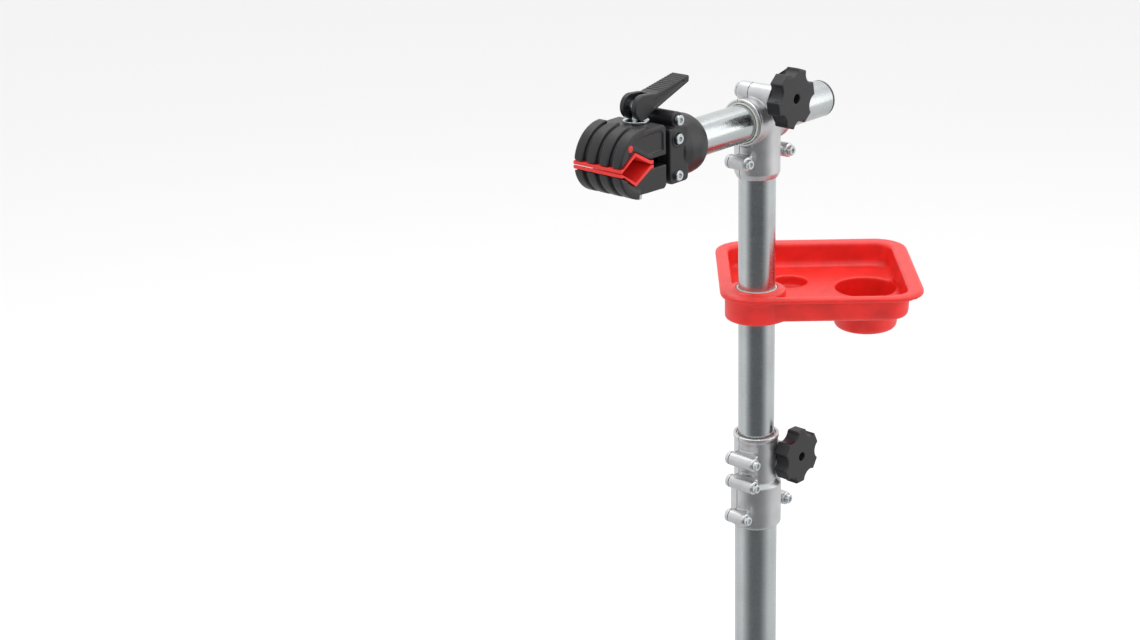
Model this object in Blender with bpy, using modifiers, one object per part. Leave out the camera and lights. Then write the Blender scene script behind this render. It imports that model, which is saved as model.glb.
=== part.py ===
"""Bicycle repair stand: tripod base, sliding upper tube, tool tray and a cam-locked clamp head.

Metres, +Z up. The arm runs along +X towards the jaws and the star knobs face +Y.
The origin is on the floor, in the middle of the stand's outline.
"""
import math

import bmesh
import bpy
from mathutils import Matrix, Vector

# ---- Driving dimensions -------------------------------------------------------------
SIDES = 28                  # sides of a round piece
FIT = 0.0003                # gap between pieces that touch
ARM_HEIGHT = 1.230          # arm axis above the floor
COLLAR_DROP = 0.340         # arm axis down to the collar's top rim
FOOT_REACH = 0.480          # tube axis out to a foot
TUBE_RADIUS = 0.0190        # upper tube and arm tube
TUBE_WALL = 0.0020
POST_LENGTH = 0.776         # upper tube
ARM_TAIL = 0.103            # arm tube, behind the upper tube's axis
HEAD_START = 0.108          # upper tube's axis out to the clamp head
LINER_WALL = 0.0015         # nylon sleeves round a sliding tube
GUIDE_WALL = 0.00145        # guide at the upper tube's lower end
GUIDE_LENGTH = 0.015
CAP_DEPTH = 0.020           # plugs' reach into their tubes
LOWER_WALL = 0.00175
CLAMP_WALL = 0.0022         # castings
SEAM_OFFSET = -0.0050       # plane where the two halves of a casting part
SEAM_GAP = 0.0010

# Tee clamp between the upper tube and the arm
RING_HALF = 0.026           # half length of the ring round the arm
SOCKET_DEPTH = 0.060        # arm axis down to the socket's mouth
SOCKET_WALL = 0.0040
EAR_RADIUS = 0.0100
EAR_REAR = 0.0210
EAR_FRONT = 0.0228
LUG_RADIUS = 0.0073
LUG_REACH = 0.0110          # casting's outside out to a lug's axis
LUG_DROP = 0.0380
LUG_REAR = 0.0110
TEE_LUG_FRONT = 0.0150

# Collar at the top of the lower tube
COLLAR_UPPER = 0.055
COLLAR_LOWER = 0.050
COLLAR_LIP = 0.0010
COLLAR_LIP_HEIGHT = 0.0045
COLLAR_LUG_FRONT = 0.0250
COLLAR_LUG_DROPS = (0.021, 0.047, 0.087)
COLLAR_KNOB_DROP = 0.028
COLLAR_EAR_FRONT = 0.0144
COLLAR_EAR_REAR = 0.0160

# Fasteners
SCREW_RADIUS = 0.0030
SCREW_HEAD_RADIUS = 0.0050
SCREW_HEAD = 0.0040
SOCKET_KEY = 0.0026
BOLT_RADIUS = 0.0040
BOLT_HEAD_RADIUS = 0.0080
BOLT_HEAD = 0.0042
WASHER_RADIUS = 0.0085
WASHER = 0.0016
HOLE_GAP = 0.0003           # radial, round a screw or a bolt

# Star knobs
KNOB_RADIUS = 0.0300
KNOB_LOBES = 6
KNOB_THICKNESS = 0.0155
KNOB_BOSS_RADIUS = 0.0110
KNOB_BOSS = 0.0080
KNOB_EYE_RADIUS = 0.0048
KNOB_EYE = 0.0065
TEE_KNOB_TURN = math.radians(11.0)
COLLAR_KNOB_TURN = math.radians(28.0)

# Tool tray, laid out in its own frame: X along its long side, Y away from the jaws
TRAY_TURN = math.radians(130.8)
TRAY_DROP = 0.1800          # arm axis down to the tray's rim
RIM_LOW = (-0.038, -0.037)
RIM_HIGH = (0.171, 0.166)
RIM_CORNER = 0.034
RIM_THICKNESS = 0.0045
WALL_LOW = (-0.027, -0.029)
WALL_HIGH = (0.157, 0.152)
WALL_CORNER = 0.024
TRAY_WALL = 0.0028
TRAY_DEPTH = 0.029
BOSS_RADIUS = 0.033
BOSS_BORE_WALL = 0.0030
BOSS_LIP = 0.0025
BOSS_SKIRT = 0.0015
CUP_AT = (0.121, 0.075)
CUP_RADIUS = 0.0355
CUP_DEPTH = 0.041           # below the tray's floor
RECESS_AT = (0.040, 0.098)
RECESS_RADIUS = 0.020
RECESS_DEPTH = 0.012
TRAY_BUSH_WALL = 0.0015

# Clamp head, with heights measured from the arm axis
HEAD_BULB_RADIUS = 0.0300
HEAD_MOUTH = 0.168          # tube axis out to the head's front face
HEAD_HALF_WIDTH = 0.0270
TUBE_SEAT = 0.035           # arm tube inside the head
PIVOT_AT = (0.157, 0.016)
HEAD_SCREWS = ((0.156, 0.0336), (0.158, -0.0190))
HEAD_BOSS_RADIUS = 0.0075
TONGUE_HALF = 0.0120
TONGUE_RADIUS = 0.0075
POCKET_GAP = 0.0010
JAW_HALF_WIDTH = 0.0290
RIB_COUNT = 4
RIB_WIDTH = 0.0118
RIB_DEPTH = 0.0035
JAW_TIP = 0.240
JAW_REAR = 0.174
UPPER_JAW_RADIUS = 0.0365
LOWER_JAW_RADIUS = 0.0300
DECK_HEIGHT = 0.0334        # top of the upper jaw
BELLY_DEPTH = 0.0275        # underside of the lower jaw
V_REAR = 0.1975
V_PEAK = 0.2190
V_HEIGHT = 0.0120
PAD_THICKNESS = 0.0035
PAD_GAP = 0.0008            # between the two pads at rest
JAW_GAP = 0.0045            # between a jaw and the middle plane behind the pads

# Cam lever
STUD_AT = 0.184
STUD_END = 0.041            # below the arm axis
STUD_SLOT_GAP = 0.0006
SLOT_REAR = 0.0030          # longer slot in the upper jaw, so that it can swing round the stud
SLOT_FRONT = 0.0056
SPRING_POCKET = 0.003
CAM_HEIGHT = 0.0480
CAM_RADIUS = 0.0120
CAM_PIN_RADIUS = 0.0060
LEVER_HALF_WIDTH = 0.0100
LEVER_TIP = (0.118, 0.064)
LEVER_TIP_HALF = 0.0032
SADDLE_RADIUS = 0.0125
SADDLE = 0.0020
STUD_NUT_RADIUS = 0.0065
STUD_NUT = 0.0050
SPRING_RADIUS = 0.0062
SPRING_WIRE = 0.0005
SPRING_TURNS = 4

# Tripod
LEG_COUNT = 3
LEG_RADIUS = 0.0140
LEG_WALL = 0.0015
PIVOT_REACH = 0.050
PIVOT_HEIGHT = 0.360
LEG_EYE_WIDTH = 0.025
LEG_EYE_LENGTH = 0.045
SPIGOT = 0.030
HUB_WALL = 0.0072
HUB_LUG_WIDTH = 0.038
HUB_LUG_REACH = 0.064
HUB_BOTTOM = 0.330
HUB_TOP = 0.395
FOOT_RADIUS = 0.0170
FOOT_CENTRE = 0.0130        # height of the leg's axis at its foot
FOOT_LENGTH = 0.050
FOOT_TOE = 0.012

# ---- Derived sizes ------------------------------------------------------------------
LINER_RADIUS = TUBE_RADIUS + FIT + LINER_WALL
CLAMP_BORE = LINER_RADIUS + FIT
CLAMP_RADIUS = CLAMP_BORE + CLAMP_WALL
GUIDE_RADIUS = TUBE_RADIUS + GUIDE_WALL
LOWER_RADIUS = GUIDE_RADIUS + FIT + LOWER_WALL
SOCKET_RADIUS = TUBE_RADIUS + FIT + SOCKET_WALL
COLLAR_TOP = ARM_HEIGHT - COLLAR_DROP
LOWER_TOP = COLLAR_TOP - COLLAR_UPPER - 0.003
POST_TOP = ARM_HEIGHT - CLAMP_BORE - 0.003
POST_BOTTOM = POST_TOP - POST_LENGTH
EAR_HEIGHT = CLAMP_RADIUS + 0.0028
KNOB_OFFSET = CLAMP_RADIUS + BOLT_RADIUS + 0.0002
LUG_X = SOCKET_RADIUS + LUG_REACH
LOWER_COLLAR_RADIUS = LOWER_RADIUS + FIT + SOCKET_WALL
TRAY_BORE = TUBE_RADIUS + TRAY_BUSH_WALL + 2 * FIT
LEG_TILT = math.atan2(PIVOT_HEIGHT - FOOT_CENTRE, FOOT_REACH - PIVOT_REACH)
LEG_LENGTH = math.hypot(PIVOT_HEIGHT - FOOT_CENTRE, FOOT_REACH - PIVOT_REACH)
HUB_RADIUS = LOWER_RADIUS + FIT + HUB_WALL

ALUMINIUM = ((0.62, 0.61, 0.60), 0.38, 0.9)
ZINC = ((0.52, 0.56, 0.56), 0.30, 0.9)
STEEL = ((0.60, 0.61, 0.62), 0.25, 1.0)
BLACK = ((0.030, 0.030, 0.034), 0.45, 0.0)
RUBBER = ((0.020, 0.020, 0.021), 0.80, 0.0)
RED = ((0.80, 0.040, 0.028), 0.40, 0.0)
PAD_RED = ((0.72, 0.035, 0.030), 0.60, 0.0)
NYLON = ((0.60, 0.60, 0.56), 0.50, 0.0)


# ---- Helpers ------------------------------------------------------------------------
def clear_scene():
    """Remove every object of the opened file."""
    for item in list(bpy.data.objects):
        bpy.data.objects.remove(item, do_unlink=True)


def make_collection(name):
    group = bpy.data.collections.new(name)
    bpy.context.scene.collection.children.link(group)
    return group


clear_scene()
PARTS = make_collection("repair_stand")
CUTTERS = make_collection("cutters")
ROOT = bpy.data.objects.new("stand_frame", None)
PARTS.objects.link(ROOT)

ALONG_X = Matrix.Rotation(math.radians(90.0), 4, "Y")
ALONG_Y = Matrix.Rotation(math.radians(-90.0), 4, "X")
ALONG_Z = Matrix.Identity(4)
SIDE_VIEW = Matrix.Rotation(math.radians(90.0), 4, "X")     # outline x, y -> X, Z


def place(x, y, z):
    return Matrix.Translation((x, y, z))


def material(finish):
    """One plain material for each finish and piece."""
    colour, roughness, metallic = finish
    surface = bpy.data.materials.new("finish")
    surface.use_nodes = True
    shader = surface.node_tree.nodes["Principled BSDF"]
    shader.inputs["Base Color"].default_value = (*colour, 1.0)
    shader.inputs["Roughness"].default_value = roughness
    shader.inputs["Metallic"].default_value = metallic
    return surface


def solid(name, mesh, matrix):
    """Object from a mesh whose local frame is matrix, held as a cutter until finished."""
    item = bpy.data.objects.new(name, mesh)
    item.matrix_world = matrix
    item.parent = ROOT
    item.hide_render = True
    item.display_type = "WIRE"
    CUTTERS.objects.link(item)
    return item


def mesh_from(bm, name):
    mesh = bpy.data.meshes.new(name)
    bm.to_mesh(mesh)
    bm.free()
    return mesh


def cylinder(radius, low, high, matrix=ALONG_Z, top_radius=None, sides=SIDES):
    """Round bar along the matrix's Z, from low to high."""
    bm = bmesh.new()
    bmesh.ops.create_cone(
        bm, cap_ends=True, segments=sides, radius1=radius,
        radius2=radius if top_radius is None else top_radius, depth=high - low,
        matrix=place(0, 0, (low + high) / 2))
    return solid("bar", mesh_from(bm, "bar"), matrix)


def block(low, high, matrix=ALONG_Z):
    """Box between two corners."""
    bm = bmesh.new()
    size = [b - a for a, b in zip(low, high)]
    centre = [(a + b) / 2 for a, b in zip(low, high)]
    bmesh.ops.create_cube(bm, size=1.0, matrix=place(*centre) @ Matrix.Diagonal((*size, 1.0)))
    return solid("block", mesh_from(bm, "block"), matrix)


def turned(profile, matrix=ALONG_Z, closed=False, sides=SIDES):
    """Turned shape from (radius, height) points, top to bottom down the outer side."""
    bm = bmesh.new()
    points = [bm.verts.new((radius, 0.0, height)) for radius, height in profile]
    for first, second in zip(points, points[1:]):
        bm.edges.new((first, second))
    if closed:
        bm.edges.new((points[-1], points[0]))
    item = solid("turned", mesh_from(bm, "turned"), matrix)
    screw = item.modifiers.new("turn", "SCREW")
    screw.axis = "Z"
    screw.steps = sides
    screw.render_steps = sides
    screw.use_merge_vertices = True
    screw.merge_threshold = 0.00001
    return item


def sleeve(inner, outer, low, high, matrix=ALONG_Z, sides=SIDES):
    """Tube along the matrix's Z."""
    profile = ((outer, high), (outer, low), (inner, low), (inner, high))
    return turned(profile, matrix, closed=True, sides=sides)


def extruded(outline, low, high, matrix=SIDE_VIEW):
    """Flat outline given a thickness from low to high along the matrix's Z."""
    curve = bpy.data.curves.new("outline", "CURVE")
    curve.dimensions = "2D"
    curve.fill_mode = "BOTH"
    curve.extrude = (high - low) / 2
    spline = curve.splines.new("POLY")
    spline.points.add(len(outline) - 1)
    for point, (x, y) in zip(spline.points, outline):
        point.co = (x, y, 0.0, 1.0)
    spline.use_cyclic_u = True
    sketch = bpy.data.objects.new("sketch", curve)
    CUTTERS.objects.link(sketch)
    bpy.context.view_layer.update()
    mesh = bpy.data.meshes.new_from_object(
        sketch.evaluated_get(bpy.context.evaluated_depsgraph_get()))
    bpy.data.objects.remove(sketch)
    bm = bmesh.new()
    bm.from_mesh(mesh)
    bmesh.ops.remove_doubles(bm, verts=bm.verts, dist=0.000001)
    bmesh.ops.recalc_face_normals(bm, faces=bm.faces)
    bmesh.ops.translate(bm, verts=bm.verts, vec=(0, 0, (low + high) / 2))
    return solid("plate", mesh_from(bm, "plate"), matrix)


def combine(target, other, operation):
    step = target.modifiers.new(operation.lower(), "BOOLEAN")
    step.operation = operation
    step.solver = "EXACT"
    step.object = other
    return target


def join(target, *others):
    for other in others:
        combine(target, other, "UNION")
    return target


def cut(target, *others):
    for other in others:
        combine(target, other, "DIFFERENCE")
    return target


def keep_inside(target, other):
    return combine(target, other, "INTERSECT")


def finish(name, item, look, axis_at=None):
    """Name a finished piece and give it its material, in the parts collection."""
    item.name = name
    item.data.name = name
    CUTTERS.objects.unlink(item)
    PARTS.objects.link(item)
    item.hide_render = False
    item.display_type = "TEXTURED"
    surface = material(look)
    surface.name = name + "_finish"
    item.data.materials.clear()
    item.data.materials.append(surface)
    item.parent = axis_at or ROOT
    if axis_at:
        item.matrix_parent_inverse = axis_at.matrix_world.inverted()
    return item


def pivot(name, x, y, z):
    """Empty on a joint's axis, for the pieces that move with it."""
    empty = bpy.data.objects.new(name, None)
    empty.empty_display_size = 0.02
    empty.matrix_world = place(x, y, z)
    empty.parent = ROOT
    PARTS.objects.link(empty)
    bpy.context.view_layer.update()
    return empty


def arc(centre, radius, start, end, steps):
    """Points of a circular arc, angles in degrees."""
    points = []
    for step in range(steps + 1):
        angle = math.radians(start + (end - start) * step / steps)
        points.append((centre[0] + radius * math.cos(angle), centre[1] + radius * math.sin(angle)))
    return points


def rounded_rectangle(low, high, radius, steps=7):
    points = []
    corners = ((high[0], high[1], 0), (low[0], high[1], 90), (low[0], low[1], 180), (high[0], low[1], 270))
    for x, y, start in corners:
        inward_x = -radius if x == high[0] else radius
        inward_y = -radius if y == high[1] else radius
        points += arc((x + inward_x, y + inward_y), radius, start, start + 90, steps)
    return points


def cap_screw(head_face, length, matrix):
    """Socket head screw along the matrix's Z; the head sits on head_face and points to +Z."""
    shank = cylinder(SCREW_RADIUS, head_face - length, head_face + 0.001, matrix, sides=12)
    head = cylinder(SCREW_HEAD_RADIUS, head_face + FIT, head_face + FIT + SCREW_HEAD, matrix, sides=16)
    key = cylinder(SOCKET_KEY, head_face + SCREW_HEAD / 2, head_face + 2 * SCREW_HEAD, matrix, sides=6)
    return cut(join(head, shank), key)


def screw_hole(low, high, matrix):
    return cylinder(SCREW_RADIUS + HOLE_GAP, low, high, matrix, sides=12)


def bolt_hole(low, high, matrix):
    return cylinder(BOLT_RADIUS + HOLE_GAP, low, high, matrix, sides=16)


def half_block(front, reach, matrix):
    """Block that holds everything on one side of the seam plane."""
    edge = SEAM_OFFSET + (SEAM_GAP / 2 if front else -SEAM_GAP / 2)
    low_y, high_y = (edge, reach) if front else (-reach, edge)
    return block((-reach, low_y, -reach), (reach, high_y, reach), matrix)


def lug_pair(body, x, z, radius, rear, front, inner_x, web_half):
    """Cast lug with its axis along Y, joined to the casting by a web."""
    side = 1 if x > 0 else -1
    lug = cylinder(radius, -rear, front, place(x, 0, z) @ ALONG_Y, sides=16)
    low_x, high_x = sorted((side * inner_x, x))
    web = block((low_x, -rear + 0.001, z - web_half), (high_x, front - 0.003, z + web_half))
    join(body, lug, web)


# ---- Tee clamp ----------------------------------------------------------------------
def tee_clamp(name, front):
    """One half of the casting that holds the arm across the top of the upper tube."""
    centre = place(0, 0, ARM_HEIGHT)
    body = cylinder(CLAMP_RADIUS, -RING_HALF, RING_HALF, centre @ ALONG_X)
    join(body, cylinder(SOCKET_RADIUS, -SOCKET_DEPTH, 0, centre))
    ear = cylinder(EAR_RADIUS, -EAR_REAR, EAR_FRONT, place(0, 0, ARM_HEIGHT + EAR_HEIGHT) @ ALONG_Y)
    neck = block((-EAR_RADIUS * 0.95, -EAR_REAR + 0.001, 0.010),
                 (EAR_RADIUS * 0.95, EAR_FRONT - 0.001, EAR_HEIGHT), centre)
    join(body, ear, neck)
    for x in (LUG_X, -LUG_X):
        lug_pair(body, x, ARM_HEIGHT - LUG_DROP, LUG_RADIUS, LUG_REAR, TEE_LUG_FRONT,
                 SOCKET_RADIUS - 0.004, LUG_RADIUS * 0.8)
    cut(body, cylinder(CLAMP_BORE, -0.1, 0.1, centre @ ALONG_X))
    cut(body, cylinder(TUBE_RADIUS + FIT, -0.1, POST_TOP + FIT - ARM_HEIGHT, centre))
    for x in (LUG_X, -LUG_X):
        cut(body, screw_hole(-LUG_REAR + 0.0015, 0.05, place(x, 0, ARM_HEIGHT - LUG_DROP) @ ALONG_Y))
    cut(body, bolt_hole(-0.05, 0.05, place(0, 0, ARM_HEIGHT + EAR_HEIGHT) @ ALONG_Y))
    keep_inside(body, half_block(front, 0.1, centre))
    return finish(name, body, ALUMINIUM)


def star_outline(turn):
    """Six flat-ended lobes with round hollows between them."""
    points = []
    step = math.tau / KNOB_LOBES
    half_end = KNOB_RADIUS * 0.24
    hollow = KNOB_RADIUS * 0.42
    for lobe in range(KNOB_LOBES):
        angle = turn + lobe * step
        along = Vector((math.cos(angle), math.sin(angle)))
        across = Vector((-along.y, along.x))
        nose = KNOB_RADIUS * 0.985
        first = along * nose - across * half_end
        second = along * nose + across * half_end
        next_along = Vector((math.cos(angle + step), math.sin(angle + step)))
        next_across = Vector((-next_along.y, next_along.x))
        third = next_along * nose - next_across * half_end
        points.append(tuple(first))
        points.append(tuple(second))
        chord = third - second
        middle = (second + third) / 2
        inward = -middle.normalized()
        for part in range(1, 6):
            share = part / 6
            dip = hollow * 0.5 * (1 - (2 * share - 1) ** 2)
            points.append(tuple(second + chord * share + inward * dip * 0.8))
    return points


def star_knob(name, matrix, rear, turn, axis_at):
    """Hand knob on a bolt: matrix's Z is the bolt's axis and rear the boss's back face."""
    lobes_at = rear + KNOB_BOSS
    front = lobes_at + KNOB_THICKNESS
    body = extruded(star_outline(turn), lobes_at, front, matrix)
    join(body, cylinder(KNOB_BOSS_RADIUS, rear, lobes_at + 0.002, matrix, sides=16))
    cut(body, bolt_hole(rear - 0.01, front + 0.01, matrix))
    cut(body, cylinder(KNOB_EYE_RADIUS, front - KNOB_EYE, front + 0.01, matrix, sides=16))
    finish(name, body, BLACK, axis_at)
    return front


def knob_set(name, x, z, seat, rear_seat, turn):
    """Carriage bolt, washer and star knob along Y, from the casting's two outer faces."""
    at = place(x, 0, z) @ ALONG_Y
    axis_at = pivot(name + "_axis", x, 0, z)
    washer_at = seat + FIT
    washer = sleeve(BOLT_RADIUS + HOLE_GAP, WASHER_RADIUS, washer_at, washer_at + WASHER, at, sides=16)
    finish(name + "_washer", washer, STEEL, axis_at)
    front = star_knob(name, at, washer_at + WASHER + FIT, turn, axis_at)
    head_at = -rear_seat - FIT
    bolt = cylinder(BOLT_HEAD_RADIUS, head_at - BOLT_HEAD, head_at, at, sides=16)
    join(bolt, cylinder(BOLT_RADIUS, head_at - 0.001, front - KNOB_EYE, at, sides=16))
    finish(name + "_bolt", bolt, STEEL)


def build_tee():
    tee_clamp("tee_clamp_front", True)
    tee_clamp("tee_clamp_rear", False)
    for name, x in (("tee_screw_jaw_side", LUG_X), ("tee_screw_tail_side", -LUG_X)):
        at = place(x, 0, ARM_HEIGHT - LUG_DROP) @ ALONG_Y
        finish(name, cap_screw(TEE_LUG_FRONT, TEE_LUG_FRONT + LUG_REAR - 0.002, at), STEEL)
    knob_set("arm_knob", 0.0, ARM_HEIGHT + EAR_HEIGHT, EAR_FRONT, EAR_REAR, TEE_KNOB_TURN)


# ---- Arm ----------------------------------------------------------------------------
def build_arm():
    at = place(0, 0, ARM_HEIGHT) @ ALONG_X
    arm_end = HEAD_START + TUBE_SEAT
    liner = sleeve(TUBE_RADIUS + FIT, LINER_RADIUS, -RING_HALF - 0.001, RING_HALF + 0.001, at)
    finish("arm_liner", liner, NYLON)
    finish("arm_tube", sleeve(TUBE_RADIUS - TUBE_WALL, TUBE_RADIUS, -ARM_TAIL, arm_end, at), ZINC)
    cap_at = -ARM_TAIL - FIT
    cap = turned(((0.0, cap_at + CAP_DEPTH), (TUBE_RADIUS - TUBE_WALL - FIT, cap_at + CAP_DEPTH),
                  (TUBE_RADIUS - TUBE_WALL - FIT, cap_at), (TUBE_RADIUS, cap_at),
                  (TUBE_RADIUS, cap_at - 0.0015), (TUBE_RADIUS - 0.002, cap_at - 0.003),
                  (0.0, cap_at - 0.003)), at)
    finish("arm_end_cap", cap, BLACK)


# ---- Clamp head ---------------------------------------------------------------------
def head_point(x, z):
    return place(x, 0, ARM_HEIGHT + z) @ ALONG_Y


def head_half(name, front):
    """One half shell of the head: it grips the arm tube and holds the jaws' tongues."""
    centre = place(0, 0, ARM_HEIGHT)
    bulb_end = PIVOT_AT[0] - 0.010
    bulb = turned(((0.0, bulb_end), (HEAD_BULB_RADIUS * 0.94, bulb_end),
                   (HEAD_BULB_RADIUS, bulb_end - 0.012), (HEAD_BULB_RADIUS, HEAD_START + 0.014),
                   (HEAD_BULB_RADIUS * 0.95, HEAD_START + 0.006),
                   (HEAD_BULB_RADIUS * 0.83, HEAD_START + 0.001), (HEAD_BULB_RADIUS * 0.78, HEAD_START),
                   (0.0, HEAD_START)), centre @ ALONG_X)
    body = bulb
    half_height = HEAD_BULB_RADIUS * 0.9
    outline = rounded_rectangle((bulb_end - 0.004, -half_height), (HEAD_MOUTH, half_height), 0.004, 3)
    join(body, extruded(outline, -HEAD_HALF_WIDTH, HEAD_HALF_WIDTH, centre @ SIDE_VIEW))
    for x, z in HEAD_SCREWS:
        join(body, cylinder(HEAD_BOSS_RADIUS, -HEAD_HALF_WIDTH, HEAD_HALF_WIDTH, head_point(x, z), sides=16))
    bore_end = HEAD_START + TUBE_SEAT + FIT
    cut(body, cylinder(TUBE_RADIUS + FIT, HEAD_START - 0.01, bore_end, centre @ ALONG_X))
    tongue = TONGUE_HALF + FIT
    pocket_start = PIVOT_AT[0] - TONGUE_RADIUS - POCKET_GAP
    cut(body, block((pocket_start, -tongue, -half_height - 0.01),
                    (HEAD_MOUTH + 0.01, tongue, half_height + 0.001),
                    centre))
    for x, z in (*HEAD_SCREWS, PIVOT_AT):
        cut(body, screw_hole(-HEAD_HALF_WIDTH + 0.003, 0.05, head_point(x, z)))
    edge = FIT / 2
    low_y, high_y = (edge, 0.1) if front else (-0.1, -edge)
    keep_inside(body, block((0, low_y, -0.1), (0.3, high_y, 0.1), centre))
    finish(name, body, BLACK)


def jaw_outline(upper):
    """Side view of a jaw with its V groove, heights from the arm axis, the upper jaw's way up."""
    radius = (UPPER_JAW_RADIUS if upper else LOWER_JAW_RADIUS) - RIB_DEPTH
    top = DECK_HEIGHT if upper else BELLY_DEPTH
    lip = PAD_GAP / 2 + PAD_THICKNESS + FIT
    centre_x = JAW_TIP - RIB_DEPTH - radius
    start = math.degrees(math.asin(lip / radius))
    rise = math.degrees(math.asin(min(top / radius, 0.999)))
    points = arc((centre_x, 0.0), radius, start, rise, 7)
    points += [(JAW_REAR + 0.003, top), (JAW_REAR, top - 0.003), (JAW_REAR, JAW_GAP)]
    points += [(V_REAR - 0.004, JAW_GAP), (V_REAR - 0.004, lip), (V_REAR, lip), (V_PEAK, V_HEIGHT + lip)]
    return points


def rib_outline(upper):
    """Side view of the round ribs that stand out of a jaw's nose."""
    radius = UPPER_JAW_RADIUS if upper else LOWER_JAW_RADIUS
    lip = PAD_GAP / 2 + PAD_THICKNESS + FIT
    centre_x = JAW_TIP - radius
    start = math.degrees(math.asin(lip / radius))
    outer = arc((centre_x, 0.0), radius, start, 90, 10)
    inner = arc((centre_x, 0.0), radius - 2.4 * RIB_DEPTH, 90, start + 18, 8)
    return outer + inner


def jaw(name, upper, axis_at=None):
    """Black plastic jaw: core, ribs and the tongue that enters the head."""
    flip = 1 if upper else -1
    frame = place(0, 0, ARM_HEIGHT) @ SIDE_VIEW @ Matrix.Diagonal((1, flip, flip, 1))
    body = extruded(jaw_outline(upper), -JAW_HALF_WIDTH + 0.001, JAW_HALF_WIDTH - 0.001, frame)
    pitch = (2 * JAW_HALF_WIDTH - RIB_WIDTH) / (RIB_COUNT - 1)
    for number in range(RIB_COUNT):
        low = -JAW_HALF_WIDTH + number * pitch
        join(body, extruded(rib_outline(upper), low, low + RIB_WIDTH, frame))
    pin_x, pin_z = PIVOT_AT if upper else (HEAD_SCREWS[1][0], -HEAD_SCREWS[1][1])
    nose = arc((pin_x, pin_z), TONGUE_RADIUS, 90, 270, 8)
    tongue = nose + [(JAW_REAR + 0.010, pin_z - TONGUE_RADIUS), (JAW_REAR + 0.010, pin_z + TONGUE_RADIUS)]
    join(body, extruded(tongue, -TONGUE_HALF, TONGUE_HALF, frame))
    cut(body, screw_hole(-0.05, 0.05, head_point(pin_x, flip * pin_z)))
    slot_half = BOLT_RADIUS + STUD_SLOT_GAP
    slot_low = STUD_AT - slot_half - (SLOT_REAR if upper else 0.0)
    slot_high = STUD_AT + slot_half + (SLOT_FRONT if upper else 0.0)
    cut(body, block((slot_low, -slot_half, ARM_HEIGHT - 0.05), (slot_high, slot_half, ARM_HEIGHT + 0.05)))
    if not upper:
        cut(body, cylinder(STUD_NUT_RADIUS + FIT, -BELLY_DEPTH - 0.01, -BELLY_DEPTH + STUD_NUT,
                           place(STUD_AT, 0, ARM_HEIGHT), sides=6))
    spring_room = SPRING_RADIUS + 0.0012
    low, high = (0.0, JAW_GAP + SPRING_POCKET) if upper else (-JAW_GAP - SPRING_POCKET, 0.0)
    cut(body, cylinder(spring_room, low, high, place(STUD_AT, 0, ARM_HEIGHT), sides=16))
    finish(name, body, BLACK, axis_at)


def pad_outline():
    """V-shaped strip in side view: lip, slope up, slope down and a short tail."""
    low = PAD_GAP / 2
    lip = low + PAD_THICKNESS
    tip = JAW_TIP - 0.0005
    lower = [(tip, low), (tip - 0.0015, low), (V_PEAK, V_HEIGHT + low), (V_REAR, low), (V_REAR - 0.0035, low)]
    upper = [(V_REAR - 0.0035, lip), (V_REAR, lip), (V_PEAK, V_HEIGHT + lip),
             (tip - RIB_DEPTH - 0.001, lip), (tip, lip)]
    return lower + upper


def pad(name, upper, axis_at=None):
    flip = 1 if upper else -1
    frame = place(0, 0, ARM_HEIGHT) @ SIDE_VIEW @ Matrix.Diagonal((1, flip, flip, 1))
    body = extruded(pad_outline(), -JAW_HALF_WIDTH - 0.0005, JAW_HALF_WIDTH + 0.0005, frame)
    finish(name, body, PAD_RED, axis_at)


def jaw_spring():
    """Small coil between the jaws, round the stud."""
    turns = []
    height = 2 * (JAW_GAP + SPRING_POCKET) - 4 * SPRING_WIRE - 0.0004
    steps = SPRING_TURNS * 12
    for step in range(steps + 1):
        angle = math.tau * step / 12
        z = ARM_HEIGHT - height / 2 + height * step / steps
        turns.append((STUD_AT + SPRING_RADIUS * math.cos(angle), SPRING_RADIUS * math.sin(angle), z))
    curve = bpy.data.curves.new("coil", "CURVE")
    curve.dimensions = "3D"
    curve.bevel_depth = SPRING_WIRE
    curve.bevel_resolution = 1
    curve.use_fill_caps = True
    spline = curve.splines.new("POLY")
    spline.points.add(len(turns) - 1)
    for point, (x, y, z) in zip(spline.points, turns):
        point.co = (x, y, z, 1.0)
    coil = bpy.data.objects.new("coil", curve)
    CUTTERS.objects.link(coil)
    finish("jaw_spring", coil, STEEL)


def build_head():
    head_half("head_shell_front", True)
    head_half("head_shell_rear", False)
    names = ("head_screw_top", "head_screw_bottom", "jaw_pivot_screw")
    for name, (x, z) in zip(names, (*HEAD_SCREWS, PIVOT_AT)):
        finish(name, cap_screw(HEAD_HALF_WIDTH, 2 * HEAD_HALF_WIDTH - 0.004, head_point(x, z)), STEEL)
    jaw("lower_jaw", False)
    pad("lower_jaw_pad", False)
    nut_low = -BELLY_DEPTH
    nut = cylinder(STUD_NUT_RADIUS, nut_low, nut_low + STUD_NUT - FIT, place(STUD_AT, 0, ARM_HEIGHT), sides=6)
    cut(nut, bolt_hole(-0.05, 0.0, place(STUD_AT, 0, ARM_HEIGHT)))
    finish("stud_nut", nut, STEEL)
    jaw_spring()
    hinge = pivot("upper_jaw_axis", PIVOT_AT[0], 0, ARM_HEIGHT + PIVOT_AT[1])
    jaw("upper_jaw", True, hinge)
    pad("upper_jaw_pad", True, hinge)


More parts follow.
